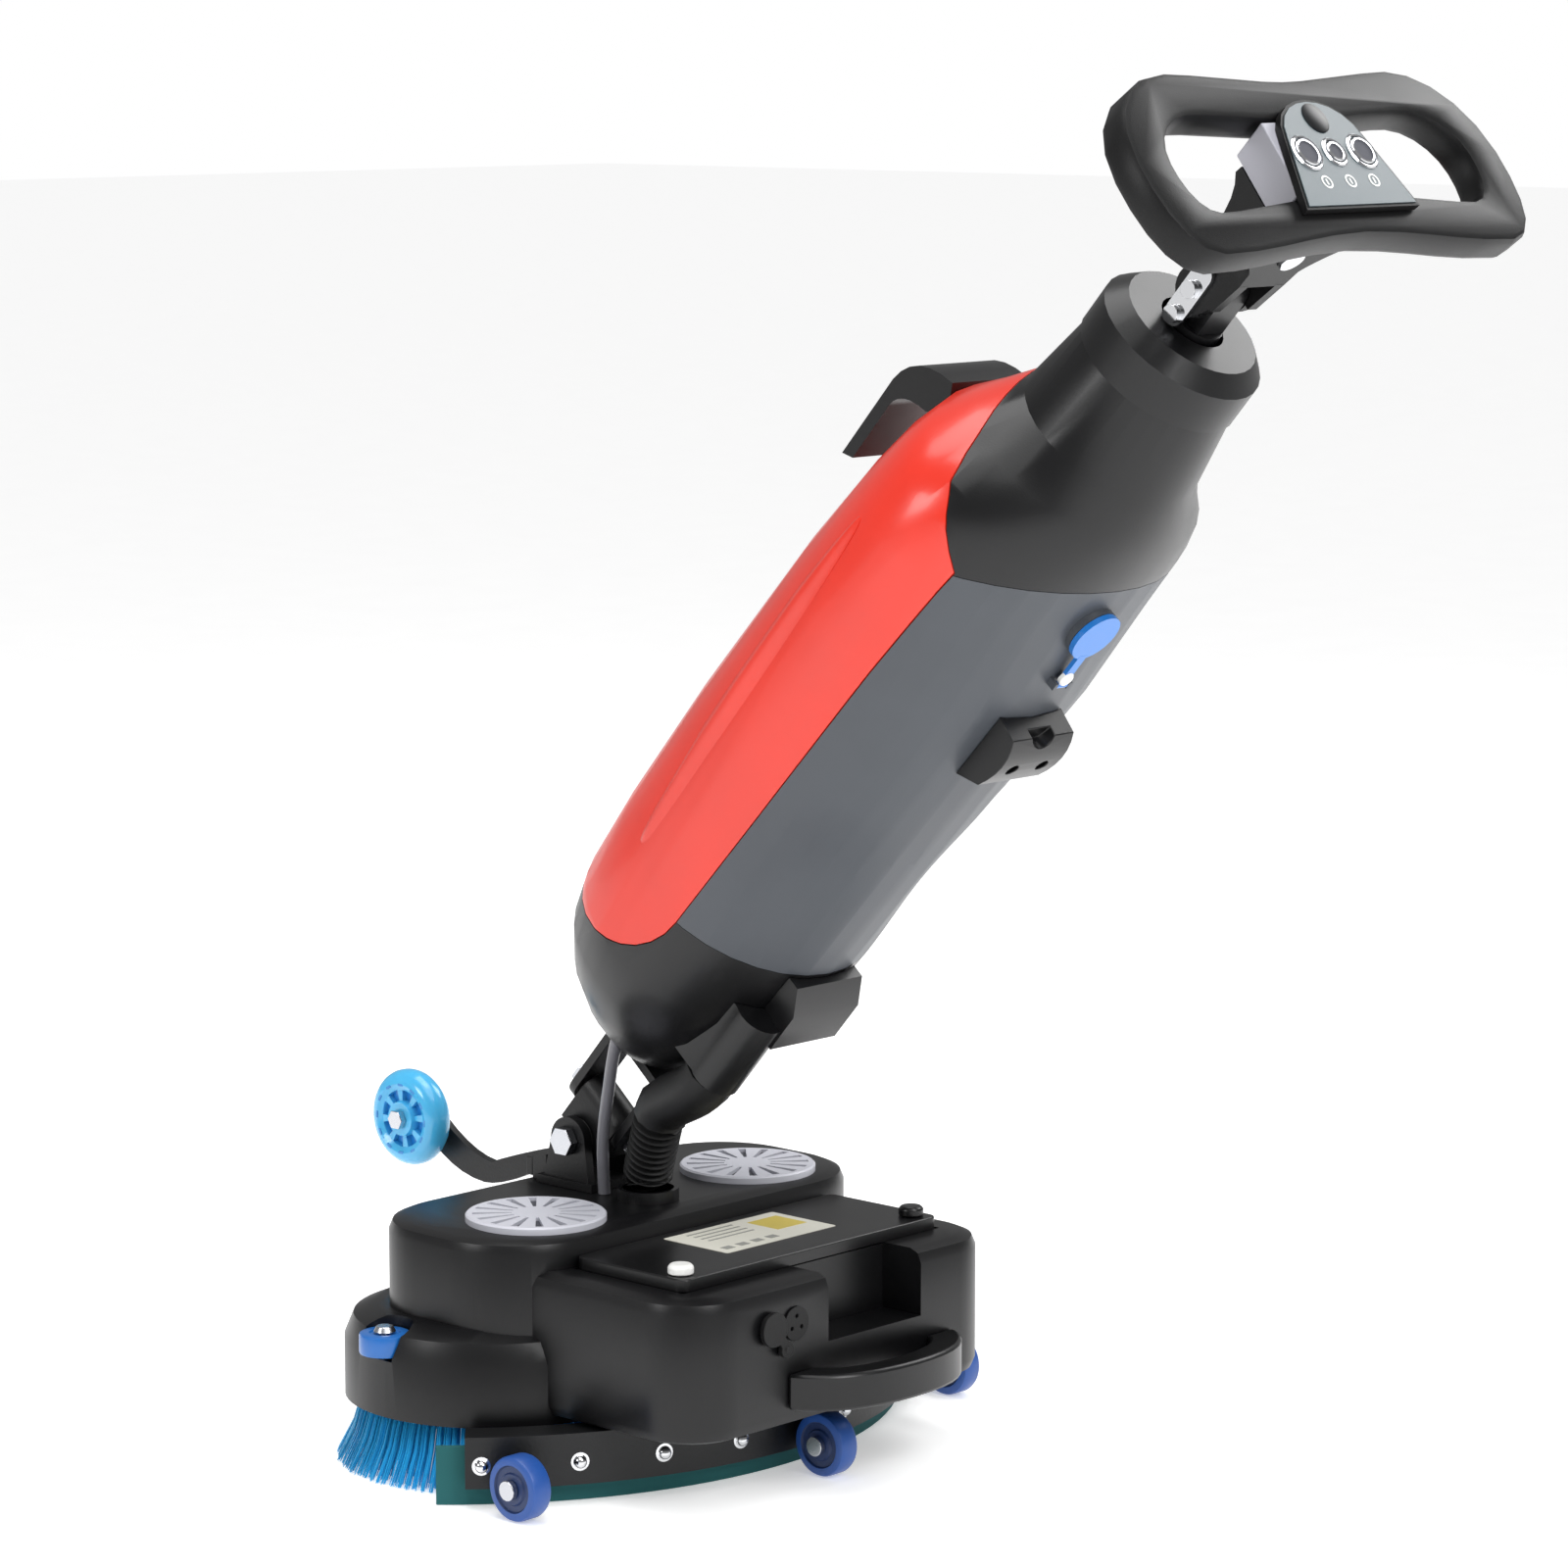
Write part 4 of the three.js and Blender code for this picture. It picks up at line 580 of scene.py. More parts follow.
def spline(points: Sequence[Vector], count: int) -> list[Vector]:
    """Evenly spaced points on a smooth curve through the given ones.

    Args:
        points: The given points.
        count: How many points to make.

    Returns:
        The new points.
    """
    def at(index: int) -> Vector:
        """A given point, or the nearest end."""
        return points[max(0, min(index, len(points) - 1))]

    dense = []
    for index in range(len(points) - 1):
        a, b, c, d = (at(index + k) for k in (-1, 0, 1, 2))
        for step in range(24):
            t = step / 24
            dense.append(0.5 * ((2 * b) + (c - a) * t + (2 * a - 5 * b + 4 * c - d) * t * t
                                + (3 * b - a - 3 * c + d) * t ** 3))
    dense.append(points[-1].copy())
    lengths = [0.0]
    for a, b in zip(dense, dense[1:]):
        lengths.append(lengths[-1] + (b - a).length)
    route, at_index = [], 0
    for step in range(count):
        target = lengths[-1] * step / (count - 1)
        while at_index < len(dense) - 2 and lengths[at_index + 1] < target:
            at_index += 1
        span = max(lengths[at_index + 1] - lengths[at_index], 1e-9)
        share = min(1.0, (target - lengths[at_index]) / span)
        route.append(dense[at_index].lerp(dense[at_index + 1], share))
    return route


# ---------------------------------------------------------------- studio
@dataclass
class Studio:
    """The pale floor, soft lights and the camera."""

    floor_size: float = 24.0
    lens: float = 117.8
    stand: tuple = (-2.5607, -2.3302, 0.9986)
    pitch: float = math.radians(8.43)  # down
    heading: float = math.radians(42.78)  # from +X towards +Y
    floor_glow: float = 0.42
    ambient: float = 0.30

    def camera(self) -> None:
        """Stands the camera behind the machine's left, a little above it."""
        flat = math.cos(self.pitch)
        look = Vector((math.cos(self.heading) * flat, math.sin(self.heading) * flat, -math.sin(self.pitch)))
        data = bpy.data.cameras.new("camera")
        data.lens, data.sensor_width, data.clip_end = self.lens, 36.0, 60.0
        camera = bpy.data.objects.new("camera", data)
        camera.location = self.stand
        camera.rotation_euler = look.to_track_quat("-Z", "Y").to_euler()
        bpy.context.scene.collection.objects.link(camera)
        bpy.context.scene.camera = camera

    def light(self, name: str, at: tuple, size: float, power: float) -> None:
        """A square soft light that looks at the machine's middle.

        Args:
            name: The light's name.
            at: Where it stands.
            size: Its side.
            power: Its power in watts.
        """
        data = bpy.data.lights.new(name, "AREA")
        data.size, data.energy = size, power
        lamp = bpy.data.objects.new(name, data)
        lamp.location = at
        lamp.rotation_euler = (Vector((0, 0, 0.45)) - Vector(at)).to_track_quat("-Z", "Y").to_euler()
        bpy.context.scene.collection.objects.link(lamp)

    def build(self) -> None:
        """Makes the floor, the lights and the world."""
        bm = bmesh.new()
        bmesh.ops.create_grid(bm, x_segments=2, y_segments=2, size=self.floor_size)
        mesh = bpy.data.meshes.new("floor")
        bm.to_mesh(mesh)
        bm.free()
        paper = Finish("studio_floor", "#F4F4F4", 0.6, relief=0.02, mottle=0.01).build()
        glow = paper.node_tree.nodes["Principled BSDF"].inputs
        glow["Emission Color"].default_value = (1.0, 1.0, 1.0, 1.0)
        glow["Emission Strength"].default_value = self.floor_glow
        mesh.materials.append(paper)
        floor = bpy.data.objects.new("floor", mesh)
        floor.location.z = -0.0005
        bpy.context.scene.collection.objects.link(floor)
        self.light("key", (-0.4, -2.8, 2.3), 1.3, 44)
        self.light("fill", (-2.9, 0.9, 1.7), 1.0, 24)
        self.light("rim", (2.2, -0.4, 2.2), 1.2, 24)
        self.light("top", (0.0, 0.3, 2.9), 1.8, 34)
        sun = bpy.data.lights.new("sun", "SUN")
        sun.energy, sun.angle = 1.1, math.radians(50)
        lamp = bpy.data.objects.new("sun", sun)
        lamp.rotation_euler = (math.radians(24), math.radians(-14), 0.0)
        bpy.context.scene.collection.objects.link(lamp)
        world = bpy.data.worlds.new("studio")
        world.use_nodes = True
        tree = world.node_tree
        rays = add_node(tree, "ShaderNodeLightPath")
        dim = tree.nodes["Background"]
        dim.inputs["Color"].default_value = (1.0, 1.0, 1.0, 1.0)
        dim.inputs["Strength"].default_value = self.ambient
        bright = add_node(tree, "ShaderNodeBackground", Strength=1.0, Color=(1.0, 1.0, 1.0, 1.0))
        both = add_node(tree, "ShaderNodeMixShader", {0: rays.outputs["Is Camera Ray"], 1: dim.outputs[0],
                                                      2: bright.outputs[0]})
        tree.links.new(both.outputs[0], tree.nodes["World Output"].inputs["Surface"])
        bpy.context.scene.world = world
        bpy.context.scene.view_settings.view_transform = "Standard"


# ---------------------------------------------------------------- upright
@dataclass
class Upright:
    """The leaning tank body: two tanks between a base housing and a neck housing."""

    maker: Maker
    frame: Matrix = field(default_factory=upright_frame)

    def on_body(self, turn: float, height: float, out: float = 0.0) -> Vector:
        """A point on the body's skin.

        Args:
            turn: Angle in degrees about the body's axis, from +X towards the front.
            height: Height up the body in millimetres.
            out: How far outside the skin, in millimetres.

        Returns:
            The point in the body's own frame, in metres.
        """
        half_wide, half_deep, offset = section_at(height)
        angle = math.radians(turn)
        x, y = half_wide * math.cos(angle), half_deep * math.sin(angle)
        away = Vector((math.cos(angle) / half_wide, math.sin(angle) / half_deep)).normalized()
        return Vector(((x + out * away.x) * MM, (y + offset + out * away.y) * MM, height * MM))

    def rib(self, side: int) -> bmesh.types.BMesh:
        """The long raised flute on one side of the front tank.

        Args:
            side: -1 for the left, 1 for the right.

        Returns:
            The flute, in the body's own frame.
        """
        bm = bmesh.new()
        rows, columns = 60, 12
        bmesh.ops.create_grid(bm, x_segments=columns, y_segments=rows, size=1.0)
        for vert in bm.verts:
            across, along = vert.co.x, (vert.co.y + 1) / 2
            height = 205 + 320 * along
            swell = math.sin(math.pi * min(1.0, max(0.0, along))) ** 0.5
            middle = 16 + 4 * along
            turn = middle + across * (1.2 + 6.4 * swell)
            out = 5.2 * swell * (0.5 + 0.5 * math.cos(math.pi * across)) - 0.35
            point = self.on_body(turn, height, out)
            vert.co = Vector((side * point.x, point.y, point.z))
        grown = bmesh.ops.extrude_face_region(bm, geom=list(bm.faces))["geom"]
        for vert in (g for g in grown if isinstance(g, bmesh.types.BMVert)):
            vert.co.x -= side * 1.2 * MM
        bmesh.ops.recalc_face_normals(bm, faces=bm.faces)
        return bm

    def scoop(self, bm: bmesh.types.BMesh) -> None:
        """Presses a long shallow hollow into each rear quarter of the rear tank.

        Args:
            bm: The tank, in place, which is changed.
        """
        into = self.frame.inverted()
        bmesh.ops.transform(bm, matrix=into, verts=bm.verts)
        for height in range(192, 400, 10):
            cut = list(bm.verts) + list(bm.edges) + list(bm.faces)
            bmesh.ops.bisect_plane(bm, geom=cut, plane_co=(0, 0, height * MM), plane_no=(0, 0, 1), dist=1e-6)
        for turn in range(-86, -14, 4):
            for mirror in (-1, 1):
                angle = math.radians(turn)
                cut = list(bm.verts) + list(bm.edges) + list(bm.faces)
                bmesh.ops.bisect_plane(bm, geom=cut, plane_co=(0, 0.017, 0),
                                       plane_no=(mirror * math.sin(angle), -math.cos(angle), 0), dist=1e-6)
        for vert in bm.verts:
            half_wide, half_deep, offset = section_at(vert.co.z / MM)
            x, y = vert.co.x / MM / half_wide, (vert.co.y / MM - offset) / half_deep
            if math.hypot(x, y) < 0.85:
                continue
            turn = math.degrees(math.atan2(y, abs(x)))
            reach = math.hypot((turn + 52) / 30, (vert.co.z / MM - 268) / 92)
            if reach < 1:
                deep = 6.5 * MM * (0.5 + 0.5 * math.cos(math.pi * reach))
                away = Vector((x / half_wide, y / half_deep, 0)).normalized()
                vert.co -= away * deep
        bmesh.ops.transform(bm, matrix=self.frame, verts=bm.verts)

    def vents(self) -> None:
        """The slotted plate on the exhaust box's rear face."""
        bm = bmesh.new()
        bmesh.ops.create_grid(bm, x_segments=11, y_segments=3, size=0.5,
                              matrix=Matrix.Diagonal((0.056, 0.024, 1.0, 1.0)))
        faces = list(bm.faces)
        bmesh.ops.inset_individual(bm, faces=faces, thickness=1.1 * MM, depth=-1.0 * MM)
        # The sunk slot floors take the dark grey as painted shade.
        for face in faces:
            face.material_index = 1
        edge = [e for e in bm.edges if e.is_boundary]
        made = bmesh.ops.extrude_edge_only(bm, edges=edge)["geom"]
        for vert in (g for g in made if isinstance(g, bmesh.types.BMVert)):
            vert.co.z -= 1.6 * MM
        place = self.frame @ Matrix.Translation(Vector((0, -93.0, 147.5)) * MM)
        place = place @ Matrix.Rotation(math.radians(90), 4, "X")
        bmesh.ops.recalc_face_normals(bm, faces=bm.faces)
        self.maker.place("exhaust_vents", bm, [MIST_GREY, SLOT_DARK], "upright", "black_plastic", frame=place)

    def build(self) -> None:
        """Dresses every node of the upright."""
        refine = self.maker.refine
        refine("base_housing", BLACK_ABS)
        refine("solution_tank", GREY_TANK, shape=self.scoop)
        refine("recovery_tank", RED_TANK)
        refine("neck_housing", BLACK_ABS)
        refine("stem", BLACK_ABS)
        refine("hinge_plate", CHROME, bevel_mm=0.5)
        refine("front_grip", BLACK_ABS)
        refine("rear_hook", BLACK_ABS, bevel_mm=0.8)
        refine("exhaust_box", BLACK_ABS, bevel_mm=1.0)
        refine("suction_cuff", SOFT_RUBBER)
        refine("vacuum_motor", CAST)
        refine("solution_pump", BLACK_ABS)
        refine("upright_yoke", POWDER_BLACK, bevel_mm=0.8)
        refine("joint_cross", POWDER_BLACK, bevel_mm=0.8)
        refine("roll_pin", ZINC)
        for side, name in ((-1, "left"), (1, "right")):
            self.maker.place(f"tank_flute_{name}", self.rib(side), [RED_TANK], "recovery_tank", "red_shell",
                             frame=self.frame, angle=math.radians(60))
        self.vents()
        self.fill_cap()
        self.hook_screws()

    def fill_cap(self) -> None:
        """The blue filling cap on its strap, with a white catch at the strap's foot."""
        self.maker.refine("fill_cap", CAP_BLUE, bevel_mm=0.8)
        _, half_deep, offset = section_at(CAP_HEIGHT)
        seat = self.frame @ Matrix.Translation(Vector((0, offset - half_deep - 5.4, CAP_HEIGHT)) * MM)
        seat = seat @ Matrix.Rotation(math.radians(90), 4, "X")
        ribs = [moved(plate(4.4, 26, 1.4, 1.0), Matrix.Rotation(math.radians(turn), 4, "Z"))
                for turn in (0, 60, 120)]
        self.maker.place("fill_cap_ribs", joined(*ribs), [CAP_BLUE], "fill_cap", "sky_blue", frame=seat)
        foot = self.frame @ Matrix.Translation(Vector((0, offset - half_deep - 6.8, CATCH_HEIGHT)) * MM)
        foot = foot @ Matrix.Rotation(math.radians(90), 4, "X")
        knob = spun([(0, -1), (5.8, -1), (5.8, 1.6), (4.8, 2.8), (0, 3.2)], 24)
        self.maker.place("strap_catch", knob, [WHITE], "fill_cap", "white_plastic", frame=foot)

    def hook_screws(self) -> None:
        """Three screws in the face of the rear hook."""
        _, half_deep, offset = section_at(430)
        parts = []
        for x, height in ((-15, 440), (15, 440), (0, 418)):
            point = Vector((x, offset - half_deep - 3.0, height)) * MM
            parts.append(moved(dome_nut(3.0), aimed(point, Vector((0, -1, 0)))))
        self.maker.place("hook_screws", joined(*parts), [ZINC], "upright", "bright_steel", frame=self.frame)


# ---------------------------------------------------------------- handle
@dataclass
class Handle:
    """The looped handle with the control panel between its bars."""

    maker: Maker
    frame: Matrix = field(default_factory=handle_frame)
    panel_top: float = 21.4  # height of the panel's face over the loop's middle plane
    button_x: float = 28.0
    button_v: float = 2.0
    button_radii: tuple = (7.5, 10.0)  # of the middle button, and of the two beside it
    window_v: float = 27.5
    sign_at: tuple = (24, -19.5)

    def build(self) -> None:
        """Dresses the handle's nodes and adds the panel's fittings."""
        self.maker.refine("handle_loop", GRIP_RUBBER, angle=math.radians(44))
        self.maker.refine("control_box", MIST_GREY, bevel_mm=1.2)
        self.panel()
        self.maker.refine("release_button", CHROME, bevel_mm=0.6)
        for side, name in ((-1, "left"), (0, "middle"), (1, "right")):
            self.button(side, name)
        self.fittings()

    def panel(self) -> None:
        """The slate film on its black rim, a little wider than the node that it stands for."""
        layers = []
        for index, (grow, low, high) in enumerate(((1.13, 0.0, 5.2), (1.07, 5.2, 6.0))):
            bm = self.maker.copy_of("control_panel")
            bmesh.ops.transform(bm, matrix=self.frame.inverted(), verts=bm.verts)
            for vert in bm.verts:
                top = vert.co.z > (self.panel_top - 3) * MM
                vert.co.z = (self.panel_top - 6 + (high if top else low)) * MM
                near = min(math.hypot(vert.co.x - side * self.button_x * MM, vert.co.y - self.button_v * MM)
                           for side in (-1, 0, 1))
                if near > 11.5 * MM:
                    vert.co.x *= grow
                    vert.co.y = (vert.co.y - 2 * MM) * grow + 2 * MM
            layers.append(painted(bm, index))
        self.maker.place("panel_film", joined(*layers), [GRIP_RUBBER, SLATE_FILM], "handle", "slate",
                         frame=self.frame, stands_for=["control_panel"], bevel_mm=0.5)

    def button(self, side: int, name: str) -> None:
        """One domed push button that stands for its node.

        Args:
            side: -1, 0 or 1 from left to right.
            name: The node's last word.
        """
        radius = self.button_radii[abs(side)]
        profile = [(0, 16.6), (radius - 0.2, 16.6), (radius - 0.2, 22.6), (radius - 0.8, 23.3),
                   (radius - 2.0, 23.4), (radius - 2.3, 22.7), (radius - 3.4, 22.6), (0, 22.9)]
        bm = spun(profile, 40)
        for face in bm.faces:
            middle = face.calc_center_median()
            if middle.z > 22.5 * MM and math.hypot(middle.x, middle.y) < (radius - 2.1) * MM:
                face.material_index = 1
        place = self.frame @ Matrix.Translation(Vector((side * self.button_x, self.button_v, 0)) * MM)
        self.maker.place(f"button_{name}_cap", bm, [CHROME, SLOT_DARK], f"button_{name}", "chrome",
                         frame=place, stands_for=[f"button_{name}"])

    def fittings(self) -> None:
        """The display window, the rings round the buttons and the three signs below them."""
        top = self.panel_top
        window = spun([(0, top - 0.4), (11, top - 0.4), (11, top + 0.5), (10.2, top + 0.9),
                       (0, top + 0.9)], 40)
        window = moved(window, Matrix.Translation(Vector((0, self.window_v, 0)) * MM))
        self.maker.place("display_window", window, [DISPLAY], "handle", "slate", frame=self.frame)
        rings, signs = [], []
        for side in (-1, 0, 1):
            radius = self.button_radii[abs(side)] + 0.6
            ring = spun([(radius, top - 0.3), (radius + 2.6, top - 0.3), (radius + 2.6, top + 0.5),
                         (radius + 1.6, top + 1.3), (radius + 0.4, top + 1.1), (radius, top - 0.3)], 40)
            middle = Matrix.Translation(Vector((side * self.button_x, self.button_v, 0)) * MM)
            rings.append(moved(ring, middle))
            sign = spun([(3.6, top - 0.2), (4.8, top - 0.2), (4.8, top + 0.25), (3.6, top + 0.25),
                         (3.6, top - 0.2)], 28)
            mark = moved(plate(1.3, 4.2, 0.4), Matrix.Translation(Vector((0, 0, top - 0.15)) * MM))
            spot = Matrix.Translation(Vector((side * self.sign_at[0], self.sign_at[1], 0)) * MM)
            signs.extend(moved(part, spot) for part in (sign, mark))
        self.maker.place("button_rings", joined(*rings), [CHROME], "handle", "chrome", frame=self.frame)
        self.maker.place("panel_signs", joined(*signs), [WHITE], "handle", "white_plastic", frame=self.frame)


# ---------------------------------------------------------------- scrubbing head
@dataclass
class Head:
    """The low head: two brushes under a skirt, the battery block and the squeegee."""

    maker: Maker
    arc_y: float = 175.6
    arc_outer: float = 325.0
    tuft_rings: tuple = (50, 58, 66, 74, 81, 87, 92)
    dense_from: int = 5  # the first of the rings that are packed closer

    def build(self) -> None:
        """Dresses the head's nodes and adds its fittings."""
        refine = self.maker.refine
        refine("deck_shell", DECK_ABS)
        refine("chassis_plate", POWDER_BLACK)
        refine("battery_pack", BLACK_ABS)
        refine("battery_lid", BLACK_ABS, bevel_mm=1.0)
        refine("charge_socket", SOFT_RUBBER, bevel_mm=0.4)
        refine("socket_cap", SOFT_RUBBER, bevel_mm=0.8)
        refine("carry_handle", BLACK_ABS, bevel_mm=2.5)
        refine("squeegee_channel", CHANNEL_BLACK, bevel_mm=0.8)
        refine("squeegee_blade", TEAL, bevel_mm=0.5)
        refine("wheel_arm", POWDER_BLACK, bevel_mm=0.8)
        refine("transport_axle", ZINC, bevel_mm=0.4)
        refine("deck_yoke", POWDER_BLACK, bevel_mm=0.8)
        refine("pitch_bolt", ZINC, bevel_mm=0.4)
        for name in ("left", "right"):
            refine(f"brush_motor_{name}", POWDER_BLACK)
            refine(f"brush_disc_{name}", BLACK_ABS)
            refine(f"bumper_pin_{name}", ZINC, bevel_mm=0.4)
            refine(f"lid_knob_{name}", WHITE if name == "left" else BLACK_ABS, bevel_mm=0.8)
            self.fan_cover(name)
            self.bristles(name)
            self.bumper(name)
        for name in ("left", "centre", "right"):
            refine(f"squeegee_axle_{name}", ZINC, bevel_mm=0.4)
            self.caster(name)
        self.label()
        self.channel_nuts()
        self.tipping_wheel()
        self.hoses()

    def fan_cover(self, name: str) -> None:
        """A round cover with narrow radial slots round a plain middle.

        Args:
            name: The node's last word.
        """
        low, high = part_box(f"fan_cover_{name}")
        middle = (low + high) / 2
        radius = (high.x - low.x) / 2 / MM
        thick = (high.z - low.z) / MM
        rows = [(0, 0), (radius, 0), (radius, thick - 1.2), (radius - 1.2, thick), (radius - 5, thick),
                (17, thick), (14, thick), (0, thick)]
        sides = 96
        bm = spun(rows, sides)
        slots = []
        for face in bm.faces:
            at = face.calc_center_median()
            reach = math.hypot(at.x, at.y) / MM
            step = sector(at, sides)
            if face.normal.z > 0.9 and 17 < reach < radius - 5 and step % 6 in (0, 1):
                slots.append(face)
        # The sunk slot walls and floors take the dark grey as painted shade.
        grown = bmesh.ops.extrude_face_region(bm, geom=slots)["geom"]
        for item in grown:
            if isinstance(item, bmesh.types.BMFace):
                item.material_index = 1
        bmesh.ops.delete(bm, geom=slots, context="FACES_ONLY")
        for vert in (g for g in grown if isinstance(g, bmesh.types.BMVert)):
            vert.co.z -= 2.6 * MM
        self.maker.place(f"fan_grille_{name}", bm, [PALE_GREY, SLOT_DARK], "deck", "pale_grey",
                         frame=Matrix.Translation((middle.x, middle.y, low.z)),
                         stands_for=[f"fan_cover_{name}"])

    def bristles(self, name: str) -> None:
        """Rings of nylon tufts that splay out towards the floor.

        Args:
            name: The node's last word.
        """
        low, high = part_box(f"bristles_{name}")
        middle = (low + high) / 2
        length = high.z - low.z
        draw = random.Random(7)
        whole = bmesh.new()
        limit = (high.x - low.x) / 2 - 0.4 * MM
        spread = 1.9 * MM
        for ring, root in enumerate(self.tuft_rings):
            loose = ring < self.dense_from
            tufts = int(math.tau * root / (7.2 if loose else 5.4))
            for tuft in range(tufts):
                turn = math.tau * (tuft + 0.5 * (ring % 2)) / tufts
                bm = bmesh.new()
                for _ in range(4 if loose else 7):
                    start = Vector((root * MM * math.cos(turn), root * MM * math.sin(turn), length))
                    start += Vector((draw.uniform(-spread, spread), draw.uniform(-spread, spread), 0.0))
                    flare = (5.0 + 14.0 * ((root - 50) / 42) ** 2) * MM + draw.uniform(-1.5, 1.2) * MM
                    sway = turn + draw.uniform(-0.02, 0.02)
                    end = start + Vector((math.cos(sway) * flare, math.sin(sway) * flare, 0))
                    end.z = draw.uniform(0.0, 0.8) * MM
                    reach = math.hypot(end.x, end.y)
                    if reach > limit:
                        end.x, end.y = end.x * limit / reach, end.y * limit / reach
                    self.strand(bm, start, end, flare)
                absorb(whole, bm)
        self.maker.place(f"tufts_{name}", whole, [NYLON_BLUE], f"brush_{name}", "bristle_blue",
                         frame=Matrix.Translation((middle.x, middle.y, low.z)),
                         stands_for=[f"bristles_{name}"],
                         angle=math.radians(80))

    def strand(self, bm: bmesh.types.BMesh, start: Vector, end: Vector, flare: float) -> None:
        """One coarse nylon strand, three-sided, bowed outwards.

        Args:
            bm: The bmesh it goes into.
            start: Its root.
            end: Its tip.
            flare: How far it leans, which sets how far it bows.
        """
        run = end - start
        outward = run.cross(Vector((0, 0, 1))).cross(run).normalized()
        bow = start.lerp(end, 0.5) - outward * flare * 0.12
        edges: list = []
        previous = Matrix.Identity(4)
        for point, radius in ((start, 0.62), (bow, 0.6), (end, 0.42)):
            frame = Matrix.Translation(point) @ Matrix.Scale(radius * MM, 4)
            if not edges:
                made = bmesh.ops.create_circle(bm, cap_ends=True, segments=3, radius=1.0, matrix=frame)
                edges = list({e for v in made["verts"] for e in v.link_edges})
            else:
                edges = next_ring(bm, edges, frame @ previous.inverted())
            previous = frame
        bmesh.ops.edgeloop_fill(bm, edges=edges)

    def bumper(self, name: str) -> None:
        """A round-edged roller with a sunk middle.

        Args:
            name: The node's last word.
        """
        low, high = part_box(f"bumper_roller_{name}")
        middle = (low + high) / 2
        r, h = (high.x - low.x) / 2 / MM, (high.z - low.z) / MM
        rows = [(4, 1.0), (10, 1.0), (11, 0), (r - 1.8, 0), (r - 0.5, 0.6), (r, 2), (r, h - 2),
                (r - 0.5, h - 0.6), (r - 1.8, h), (11, h), (10, h - 1.0), (4, h - 1.0), (4, 1.0)]
        self.maker.place(f"bumper_tyre_{name}", spun(rows, 48), [ROLLER_BLUE], f"bumper_roller_{name}",
                         "blue_plastic", frame=Matrix.Translation((middle.x, middle.y, low.z)),
                         stands_for=[f"bumper_roller_{name}"])

    def caster(self, name: str) -> None:
        """A squeegee wheel: a blue tyre on a darker hub.

        Args:
            name: The node's last word.
        """
        low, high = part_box(f"squeegee_wheel_{name}")
        middle = (low + high) / 2
        r, h = (high.z - low.z) / 2 / MM, (high.x - low.x) / 2 / MM
        rows = [(4.4, -h), (10.5, -h), (11.5, -h + 1.4), (15.5, -h + 1.4), (16.5, -h), (r - 2.5, -h),
                (r - 0.8, -h + 0.8), (r, -h + 2.6), (r, h - 2.6), (r - 0.8, h - 0.8), (r - 2.5, h),
                (16.5, h), (15.5, h - 1.4),
                (11.5, h - 1.4), (10.5, h), (4.4, h), (4.4, -h)]
        bm = spun(rows, 48)
        for face in bm.faces:
            at = face.calc_center_median()
            face.material_index = 1 if math.hypot(at.x, at.y) < 16.2 * MM else 0
        place = Matrix.Translation(middle) @ Matrix.Rotation(math.radians(90), 4, "Y")
        self.maker.place(f"squeegee_tyre_{name}", bm, [TYRE_BLUE, HUB_BLUE], f"squeegee_wheel_{name}",
                         "blue_plastic", frame=place, stands_for=[f"squeegee_wheel_{name}"])

    def tipping_wheel(self) -> None:
        """The cast wheel in front: a pale tyre on a core with windows in it."""
        low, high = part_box("transport_wheel")
        middle = (low + high) / 2
        r, h = (high.z - low.z) / 2 / MM, (high.x - low.x) / 2 / MM
        side = [(11, h), (12.5, h), (13.5, h - 3), (21.5, h - 3), (23, h - 2), (26, h - 0.6), (29, h - 1.2),
                (32.5, h - 3.4), (r - 1.2, h - 6.4), (r - 0.1, h - 9.6)]
        rows = [(radius, -height) for radius, height in side] + [(r, 0)] + list(reversed(side))
        rows = [(4.6, -h)] + rows + [(4.6, h), (4.6, -h)]
        sides = 96
        bm = spun(rows, sides)
        windows = []
        for face in bm.faces:
            at = face.calc_center_median()
            reach = math.hypot(at.x, at.y) / MM
            step = sector(at, sides)
            face.material_index = 1 if reach < 22.5 else 0
            if abs(face.normal.z) > 0.9 and 14 < reach < 21 and step % 12 < 8:
                windows.append(face)
        grown = bmesh.ops.extrude_face_region(bm, geom=windows)["geom"]
        bmesh.ops.delete(bm, geom=windows, context="FACES_ONLY")
        for item in grown:
            if isinstance(item, bmesh.types.BMVert):
                item.co.z -= math.copysign(4.0 * MM, item.co.z)
            if isinstance(item, bmesh.types.BMFace):
                item.material_index = 2
        place = Matrix.Translation(middle) @ Matrix.Rotation(math.radians(90), 4, "Y")
        self.maker.place("tipping_tyre", bm, [ICE_BLUE, ICE_BLUE, SPOKE_BLUE], "transport_wheel", "ice_blue",
                         frame=place, stands_for=["transport_wheel"])
        dashes = []
        for step in range(12):
            turn = math.tau * step / 12
            for face_side in (-1, 1):
                dash = moved(plate(5.4, 1.8, 0.6, 0.8), Matrix.Translation(Vector((0, 25.6, 0)) * MM))
                if face_side < 0:
                    dash = moved(dash, Matrix.Rotation(math.pi, 4, "Y"))
                seat = Matrix.Translation(Vector((0, 0, face_side * (h - 1.1))) * MM)
                dashes.append(moved(dash, Matrix.Rotation(turn, 4, "Z") @ seat))
        self.maker.place("tipping_wheel_dashes", joined(*dashes), [SPOKE_BLUE], "transport_wheel", "ice_blue",
                         frame=place)

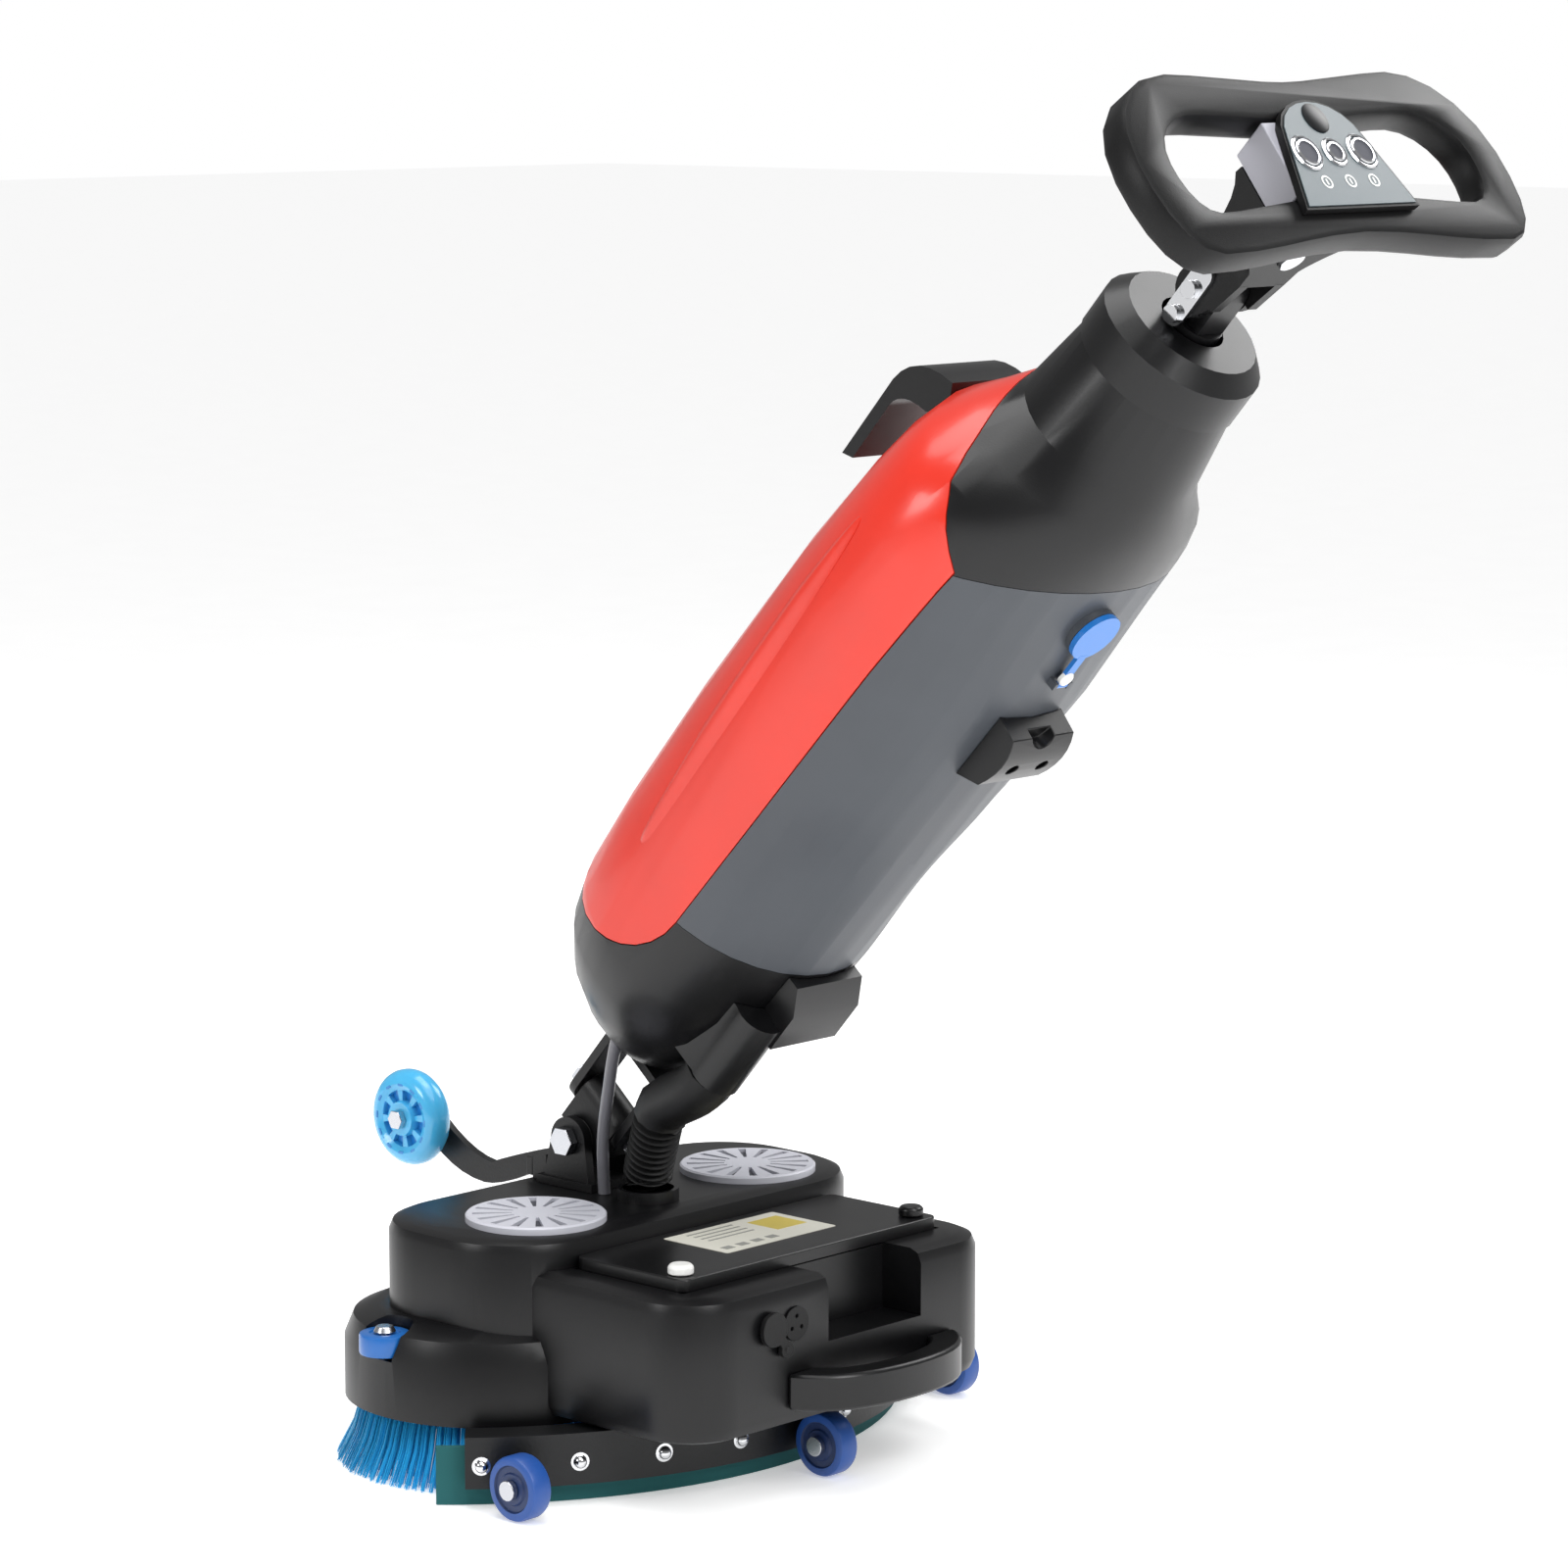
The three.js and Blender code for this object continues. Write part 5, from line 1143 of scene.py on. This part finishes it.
    def label(self) -> None:
        """A plain printed sheet on the lid, with blocks in place of any wording."""
        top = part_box("battery_lid")[1].z / MM
        film = moved(painted(plate(112, 62, 0.3, 2), 0), Matrix.Translation(machine(2, -102, top)))
        patch = moved(painted(plate(30, 30, 0.3), 1), Matrix.Translation(machine(36, -96, top + 0.15)))
        bars = [moved(painted(plate(46, 2.2, 0.3), 2),
                      Matrix.Translation(machine(-14, -78 - 7 * row, top + 0.15))) for row in range(4)]
        blocks = [moved(painted(plate(9, 7, 0.3), 2),
                        Matrix.Translation(machine(-42 + 15 * column, -122, top + 0.15)))
                  for column in range(4)]
        self.maker.place("lid_label", joined(film, patch, *bars, *blocks), [CREAM, YELLOW, PRINT_GREY], "lid",
                         "black_plastic")

    def channel_nuts(self) -> None:
        """Dome nuts along the outside of the squeegee channel."""
        parts = []
        for x in (222, 168, 113, 53):
            for side in (-1, 1):
                y = self.arc_y - math.sqrt(self.arc_outer ** 2 - x * x)
                point = machine(side * x, y, 30)
                away = (point - machine(0, self.arc_y, 30)).normalized()
                parts.append(moved(dome_nut(4.8), aimed(point - away * 0.0006, away)))
        self.maker.place("channel_nuts", joined(*parts), [CHROME], "deck", "bright_steel")

    def hoses(self) -> None:
        """The ribbed suction hose and the thin supply tube, in halves that meet at the joint's cross."""
        meet, along = machine(-26, -42, 240), Vector((8, 20, -32)).normalized()
        hose = spline([meet + along * MM, meet + along * 8 * MM, machine(-10, -14, 193),
                       machine(-10, -14, 183)], 161)
        body = upright_frame()
        tube = spline([body @ (Vector((-34, 8, 48)) * MM), body @ (Vector((-34, 8, 24)) * MM),
                       machine(-28, 8, 248), machine(-24, 17, 216), machine(-21, 20, 190),
                       machine(-20, 20, 172.6)], 61)

        def ribbed(distance: float) -> float:
            """The hose's radius in metres at a distance along it."""
            return (15.4 + 2.6 * math.cos(math.tau * distance / 0.0062)) * MM

        jobs = (("suction_hose", hose, ribbed, SOFT_RUBBER, "hose_black", 24),
                ("supply_tube", tube, lambda distance: 4.5 * MM, TUBE_GREY, "mist", 14))
        for name, route, radius_at, finish, slot, sides in jobs:
            half = len(route) // 2
            upper, lower = route[:half + 1], route[half:]
            gone = sum((b - a).length for a, b in zip(upper, upper[1:]))
            self.maker.place(f"{name}_upper", swept(upper, radius_at, sides), [finish], "cross", slot,
                             bends=("cross", "upright", upper[-1], upper[0]), stands_for=[name],
                             angle=math.radians(75))
            rest = swept(lower, lambda d, r=radius_at, g=gone: r(d + g), sides)
            self.maker.place(f"{name}_lower", rest, [finish], "cross", slot,
                             bends=("deck", "cross", lower[-1], lower[0]), angle=math.radians(75))


def main() -> None:
    """Loads the frame, builds the studio and each sub-assembly."""
    logging.basicConfig(level=logging.INFO, format="%(name)s %(message)s")
    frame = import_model()
    studio = Studio()
    studio.camera()
    studio.build()
    maker = Maker(frame["nodes"])
    maker.read(frame["record"])
    Head(maker).build()
    Upright(maker).build()
    Handle(maker).build()


if __name__ == "__main__":
    main()
